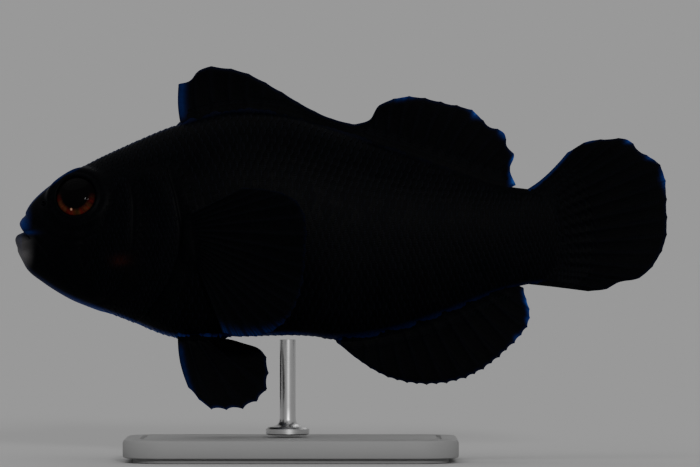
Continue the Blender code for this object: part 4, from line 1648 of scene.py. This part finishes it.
def lay_scales(skin):
    """Four pieces of scales: the body's left and right side, the head and the fins."""
    designs = fin_designs()
    pieces = {
        "scales_body_left": [body_roots(-1)],
        "scales_body_right": [body_roots(1)],
        "scales_head": [head_roots(-1), head_roots(1)],
        "scales_fins": [fin_roots(designs[name], *limits) for name, limits in SCALED_FINS.items()],
    }
    shapes = [
        add_object(name, scale_shape(name, pored))
        for name, pored in (("scale_shape", False), ("pored_scale_shape", True))
    ]
    planting = Planting()
    finish = scale_finish()
    straying = bpy.context.scene.clownfish.scales.straying
    surface = BVHTree.FromObject(skin, bpy.context.evaluated_depsgraph_get())
    for seed, (name, groups) in enumerate(pieces.items()):
        for order, group in enumerate(groups):
            group["unwrap"] = group["unwrap"] + (0, UNWRAP_SHIFT[name] * order)
        cloud = root_cloud(name, [lying_flat(group, surface) for group in groups])
        shape = {"Scale": shapes[0], "Pored_Scale": shapes[1], "Finish": finish}
        made = planting.plant(name, cloud, Skin=skin, Seed=seed, Straying=straying, Patch=PATCH, **shape)
        shade(made.data, 40)
        bare = np.zeros((len(made.data.vertices), 3))
        keep_vectors(made.data, "marks", bare if name == "scales_fins" else body_marks(on_body(made.data)))
        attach(made, "root")
    for shape in shapes:
        bpy.data.objects.remove(shape)


# --- Stand and stage ------------------------------------------------------------------------------


def stacked_rings(name, rings):
    """A closed shape through rings of points, in metres and from the bottom up."""
    rings = np.array(rings)
    faces = capped_faces(*rings.shape[:2])
    mesh = outward_mesh(name, rings.reshape(-1, 3), faces)
    shade(mesh, 35)
    return add_object(name, mesh)


# The plate in metres: its eased edge, the shadow gap under it, and the groove inside its edge
PLATE_EASE, PLATE_GAP, PLATE_COLUMNS = 0.0005, 0.0006, 96
GROOVE_DEPTH, GROOVE_FROM, GROOVE_TO = 0.0003, 0.0023, 0.0030
# The rod: its shaft's share of its foot's radius, and its foot's height in metres
SHAFT_SHARE, ROD_FOOT, ROD_COLUMNS = 0.367, 0.0014, 48


def make_plate():
    """The stand's plate: rounded corners, an eased edge, a groove inside it, and a shadow gap below."""
    corner = bpy.context.scene.clownfish.stand.corner
    low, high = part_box("stand_plate")
    middle = (low + high) / 2
    half = (high - low) / 2
    top = 2 * half.z
    turn = np.arange(PLATE_COLUMNS) * math.tau / PLATE_COLUMNS
    rings = []
    for inset, rise in (
        (0.0014, 0.0),
        (0.0014, PLATE_GAP),
        (0.0004, PLATE_GAP),
        (0.0001, PLATE_GAP + 0.0001),
        (0.0, PLATE_GAP + 0.0003),
        (0.0, top - PLATE_EASE),
        (0.3 * PLATE_EASE, top - 0.3 * PLATE_EASE),
        (PLATE_EASE, top),
        (GROOVE_FROM, top),
        (GROOVE_FROM + 0.0002, top - GROOVE_DEPTH),
        (GROOVE_TO - 0.0002, top - GROOVE_DEPTH),
        (GROOVE_TO, top),
        (GROOVE_TO + 0.0010, top),
    ):
        bend = corner - min(inset, corner * 0.7)
        x = (half.x - inset - bend) * np.sign(np.cos(turn)) + bend * np.cos(turn)
        y = (half.y - inset - bend) * np.sign(np.sin(turn)) + bend * np.sin(turn)
        rings.append(np.stack([middle.x + x, middle.y + y, low.z + rise + 0 * x], axis=-1))
    plate = stacked_rings("stand_base", rings)
    plate.data.materials.append(paint_finish())
    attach(plate, "root")
    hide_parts("stand_plate")


def make_rod():
    """The stand's rod, turned: a stepped foot that curves into a straight shaft."""
    low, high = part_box("stand_rod")
    middle = (low + high) / 2
    foot = (high.x - low.x) / 2
    shaft = foot * SHAFT_SHARE
    top = high.z - low.z
    turn = np.arange(ROD_COLUMNS) * math.tau / ROD_COLUMNS
    rings = []
    for radius, rise in (
        (foot - 0.0003, 0.0),
        (foot, 0.0002),
        (foot, ROD_FOOT * 0.6),
        (foot - 0.0003, ROD_FOOT * 0.8),
        (shaft + 0.0009, ROD_FOOT * 0.86),
        (shaft + 0.0004, ROD_FOOT),
        (shaft + 0.0001, ROD_FOOT + 0.0004),
        (shaft, ROD_FOOT + 0.0009),
        (shaft, top * 0.3),
        (shaft, top * 0.6),
        (shaft, top),
    ):
        x, y = radius * np.cos(turn), radius * np.sin(turn)
        rings.append(np.stack([middle.x + x, middle.y + y, low.z + rise + 0 * turn], axis=-1))
    rod = stacked_rings("stand_support", rings)
    rod.data.materials.append(steel_finish())
    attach(rod, "root")
    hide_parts("stand_rod")


def between_shades(finish, share, colour, darker, paler):
    """A colour that wanders from a darker to a paler shade of itself."""
    return finish.mixed(share, tuple(c * darker for c in colour), tuple(min(c * paler, 1) for c in colour))


def paint_finish():
    """Fine-textured matt paint."""
    finish = Finish("stand paint", Specular_IOR_Level=0.35)
    place = finish.place()
    grain = finish.noise(place, 5200.0, 2.0)
    cloud = finish.noise(place, 60.0)
    paint = bpy.context.scene.clownfish.stand.paint
    finish.gives(
        Base_Color=between_shades(finish, cloud * 0.5 + grain * 0.3, paint, 0.92, 1.06),
        Roughness=(0.5 + grain * 0.2).clamped(),
        Normal=finish.bumped(grain, 0.00001),
    )
    return finish.material


def steel_finish():
    """Turned steel with fine rings round it."""
    finish = Finish("turned steel", Metallic=1.0)
    place = finish.place()
    _, _, height = finish.parts(place)
    rings = finish.noise(finish.vector(0.0, 0.0, height * 9000.0), 1.0, 2.0)
    cloud = finish.noise(place, 300.0)
    steel = bpy.context.scene.clownfish.stand.steel
    finish.gives(
        Base_Color=between_shades(finish, cloud, steel, 0.9, 1.08),
        Roughness=(0.22 + rings * 0.12 + cloud * 0.08).clamped(),
        Normal=finish.bumped(rings, 0.000004),
    )
    return finish.material


def floor_finish(pale):
    """A pale matt floor of the given lightness."""
    finish = Finish("floor", Roughness=1.0, Specular_IOR_Level=0.0)
    grain = finish.noise(finish.place(), 90.0)
    finish.gives(Base_Color=finish.mixed(grain, (0.995 * pale,) * 3, (1.005 * pale,) * 3))
    return finish.material


FLOOR_RADIUS, FLOOR_DROP, FLOOR_COLUMNS = 6.0, 0.00005, 96
CAMERA_DISTANCE, CAMERA_ASIDE, CAMERA_DROP = 0.9, 0.0011, 0.0002
FRAME_WIDTH = 0.0966
SENSOR_WIDTH = 36.0
# Which way each light shines, and how many degrees across it is
LIGHTS = {
    "key": ((0.3, 0.1, -1.0), 70.0),
    "rim": ((-0.35, -0.9, -0.75), 18.0),
    "catch": ((-0.17, 0.95, -0.27), 7.0),
}


def make_lights(look):
    """Soft light from all round and three lamps. Gives the first's share of the light on the floor."""
    studio = bpy.data.worlds.new("studio")
    studio.use_nodes = True
    backdrop = studio.node_tree.nodes["Background"]
    backdrop.inputs["Color"].default_value = (*look.backdrop, 1.0)
    backdrop.inputs["Strength"].default_value = look.ambient
    bpy.context.scene.world = studio
    on_floor = 0.0
    for name, (towards, softness) in LIGHTS.items():
        sun = bpy.data.lights.new(f"{name}_light", "SUN")
        sun.energy = getattr(look, name)
        sun.angle = math.radians(softness)
        lamp = add_object(sun.name, sun)
        lamp.rotation_euler = Vector(towards).to_track_quat("-Z", "Y").to_euler()
        on_floor -= sun.energy * Vector(towards).normalized().z / math.pi
    return look.ambient / (look.ambient + on_floor)


def make_camera():
    """A long lens that looks straight at the fish's left side."""
    lens = bpy.data.cameras.new("camera")
    lens.sensor_width = SENSOR_WIDTH
    lens.lens = SENSOR_WIDTH * CAMERA_DISTANCE / FRAME_WIDTH
    lens.clip_end = 20.0
    camera = add_object("camera", lens)
    camera.location = (CAMERA_ASIDE, -CAMERA_DISTANCE, AXIS_HEIGHT * MM - CAMERA_DROP)
    camera.rotation_euler = (math.radians(90), 0.0, 0.0)
    bpy.context.scene.camera = camera


def make_stage():
    """The floor, as pale as the backdrop that it runs into, with the lights and the camera."""
    turn = np.arange(FLOOR_COLUMNS) * math.tau / FLOOR_COLUMNS
    x, y = FLOOR_RADIUS * np.cos(turn), FLOOR_RADIUS * np.sin(turn)
    disc = np.stack([x, y, 0 * turn - FLOOR_DROP], axis=-1)
    mesh = bpy.data.meshes.new("floor")
    mesh.from_pydata(disc, [], [list(range(len(disc)))])
    floor = add_object("floor", mesh)
    mesh.materials.append(floor_finish(make_lights(bpy.context.scene.clownfish.stage)))
    make_camera()


# --- Sizes and colours, operators and panel -------------------------------------------------------


def colour_of(name, description, default):
    return FloatVectorProperty(
        name=name, description=description, default=default, size=3, subtype="COLOR", min=0.0, max=1.0
    )


def length_of(name, description, millimetres):
    """A length that is kept in metres."""
    return FloatProperty(
        name=name, description=description, default=millimetres * MM, min=0.0, unit="LENGTH", precision=5
    )


def amount_of(name, description, default):
    return FloatProperty(name=name, description=description, default=default, min=0.0)


def group_of(kind, name, description):
    return PointerProperty(type=kind, name=name, description=description)


class BodyColours(bpy.types.PropertyGroup):
    black: colour_of("Black", "Main colour of skin and scales", (0.0005, 0.0006, 0.0009))
    sheen_black: colour_of("Worn black", "Paler black of ridges and scale edges", (0.0019, 0.0021, 0.0032))
    brown: colour_of("Cheek", "Brown flush on the gill cover's front plate", (0.030, 0.0065, 0.004))
    # Painted blue rim light at the edges, and the painted highlights on it
    blue: colour_of("Blue", "Edge of belly, throat, lips and fins", (0.010, 0.028, 0.19))
    painted_rim_highlight: colour_of("Bright blue", "Tips of the rays and the brightest edges", (0.04, 0.15, 0.50))
    grey: colour_of("Chin", "Pale patch on the chin", (0.14, 0.135, 0.14))


class ScaleSizes(bpy.types.PropertyGroup):
    coat: length_of("Coat", "How far the scales' free ends stand off the skin", 0.15)
    row: length_of("Row", "From one row of scales to the next on the flank", 1.25)
    step: length_of("Step", "From one scale to the next in a row", 0.95)
    length: length_of("Length", "Length of a scale on the flank", 2.0)
    width: length_of("Width", "Width of a scale on the flank", 2.46)
    straying: FloatProperty(
        name="Straying",
        description="How far scales turn out of line",
        default=0.16,
        subtype="ANGLE",
        unit="ROTATION",
    )
    edge: colour_of("Edge", "Free edge of each scale", (0.006, 0.007, 0.012))


class FinSizes(bpy.types.PropertyGroup):
    ray: length_of("Ray", "Thickness of a fin at a ray's foot", 0.84)
    membrane: length_of("Membrane", "Thickness of a fin between rays", 0.36)
    notch: amount_of("Notches", "How deep the margin dips between rays", 1.0)
    ray_colour: colour_of("Rays", "Colour along the rays", (0.0030, 0.0034, 0.0060))


class EyeLook(bpy.types.PropertyGroup):
    pupil: length_of("Pupil", "Radius of the pupil", 1.88)
    # The rim colour is also the upper iris's dark, partly painted shade; the iris colours show only in its
    # lower half, partly painted light
    rim: colour_of("Rim", "Dark outer rim and upper iris", (0.0012, 0.0010, 0.0012))
    iris: colour_of("Iris", "Red of the iris's lower half", (0.14, 0.012, 0.008))
    iris_brown: colour_of("Brown iris", "Brown of the iris's lower half", (0.11, 0.032, 0.012))
    iris_gold: colour_of("Golden iris", "Olive gold of the iris's lowest part", (0.055, 0.035, 0.006))
    # Colour of the painted glint on the iris
    painted_glint: colour_of("Fleck", "Brightest spot of the iris", (0.62, 0.33, 0.21))


class StandLook(bpy.types.PropertyGroup):
    corner: length_of("Corner", "Radius of the plate's corners", 6.0)
    paint: colour_of("Paint", "Paint of the plate", (0.30, 0.30, 0.30))
    steel: colour_of("Steel", "Steel of the rod", (0.62, 0.62, 0.62))


class StageLook(bpy.types.PropertyGroup):
    backdrop: colour_of("Backdrop", "Colour of the studio round the model", (1.0, 1.0, 1.0))
    ambient: amount_of("Ambient", "Strength of the light from all round", 0.35)
    key: amount_of("Key", "Strength of the main light", 0.7)
    rim: amount_of("Rim", "Strength of the light from behind", 0.2)
    catch: amount_of("Catch light", "Strength of the spark in the eyes", 1.0)


class ClownfishSettings(bpy.types.PropertyGroup):
    body: group_of(BodyColours, "Body", "Colours of skin and scales")
    scales: group_of(ScaleSizes, "Scales", "Sizes of the scales")
    fins: group_of(FinSizes, "Fins", "Sizes of the fins")
    eyes: group_of(EyeLook, "Eyes", "Sizes and colours of the eyes")
    stand: group_of(StandLook, "Stand", "Look of the stand")
    stage: group_of(StageLook, "Stage", "Floor and lights")


class CLOWNFISH_OT_skin(bpy.types.Operator):
    """Make the skin of head, body and fins as one piece"""

    bl_idname = "clownfish.skin"
    bl_label = "Skin and Fins"

    def execute(self, context):
        make_skin()
        return {"FINISHED"}


class CLOWNFISH_OT_eyes(bpy.types.Operator):
    """Make both eyes"""

    bl_idname = "clownfish.eyes"
    bl_label = "Eyes"

    def execute(self, context):
        for side, sign in SIDES:
            make_eye(side, sign)
        return {"FINISHED"}


class CLOWNFISH_OT_scales(bpy.types.Operator):
    """Lay scales over the skin"""

    bl_idname = "clownfish.scales"
    bl_label = "Scales"

    def execute(self, context):
        skin = bpy.data.objects.get("skin")
        if skin is None:
            raise RuntimeError("Scales need the skin: make that first")
        lay_scales(skin)
        return {"FINISHED"}


class CLOWNFISH_OT_stand(bpy.types.Operator):
    """Make the stand's plate and rod"""

    bl_idname = "clownfish.stand"
    bl_label = "Stand"

    def execute(self, context):
        make_plate()
        make_rod()
        return {"FINISHED"}


class CLOWNFISH_OT_stage(bpy.types.Operator):
    """Make the floor, lights and camera"""

    bl_idname = "clownfish.stage"
    bl_label = "Stage"

    def execute(self, context):
        make_stage()
        return {"FINISHED"}


class VIEW3D_PT_clownfish(bpy.types.Panel):
    """Sizes, colours and pieces of the clownfish"""

    bl_label = "Clownfish"
    bl_space_type = "VIEW_3D"
    bl_region_type = "UI"
    bl_category = "Clownfish"

    def draw(self, context):
        settings = context.scene.clownfish
        for key, maker in (
            ("body", None),
            ("fins", "skin"),
            ("eyes", "eyes"),
            ("scales", "scales"),
            ("stand", "stand"),
            ("stage", "stage"),
        ):
            box = self.layout.box()
            group = getattr(settings, key)
            box.label(text=settings.bl_rna.properties[key].name)
            for name in group.__annotations__:
                box.prop(group, name)
            if maker:
                box.operator(f"clownfish.{maker}")


PROPERTY_GROUPS = (BodyColours, ScaleSizes, FinSizes, EyeLook, StandLook, StageLook, ClownfishSettings)
REGISTERED = (
    *PROPERTY_GROUPS,
    CLOWNFISH_OT_stage,
    CLOWNFISH_OT_skin,
    CLOWNFISH_OT_eyes,
    CLOWNFISH_OT_scales,
    CLOWNFISH_OT_stand,
    VIEW3D_PT_clownfish,
)


def register():
    for part in REGISTERED:
        bpy.utils.register_class(part)
    bpy.types.Scene.clownfish = PointerProperty(type=ClownfishSettings)


def unregister():
    del bpy.types.Scene.clownfish
    for part in reversed(REGISTERED):
        bpy.utils.unregister_class(part)


def main():
    register()
    bpy.ops.clownfish.stage()
    bpy.ops.clownfish.skin()
    bpy.ops.clownfish.eyes()
    bpy.ops.clownfish.scales()
    bpy.ops.clownfish.stand()


if __name__ == "__main__":
    main()
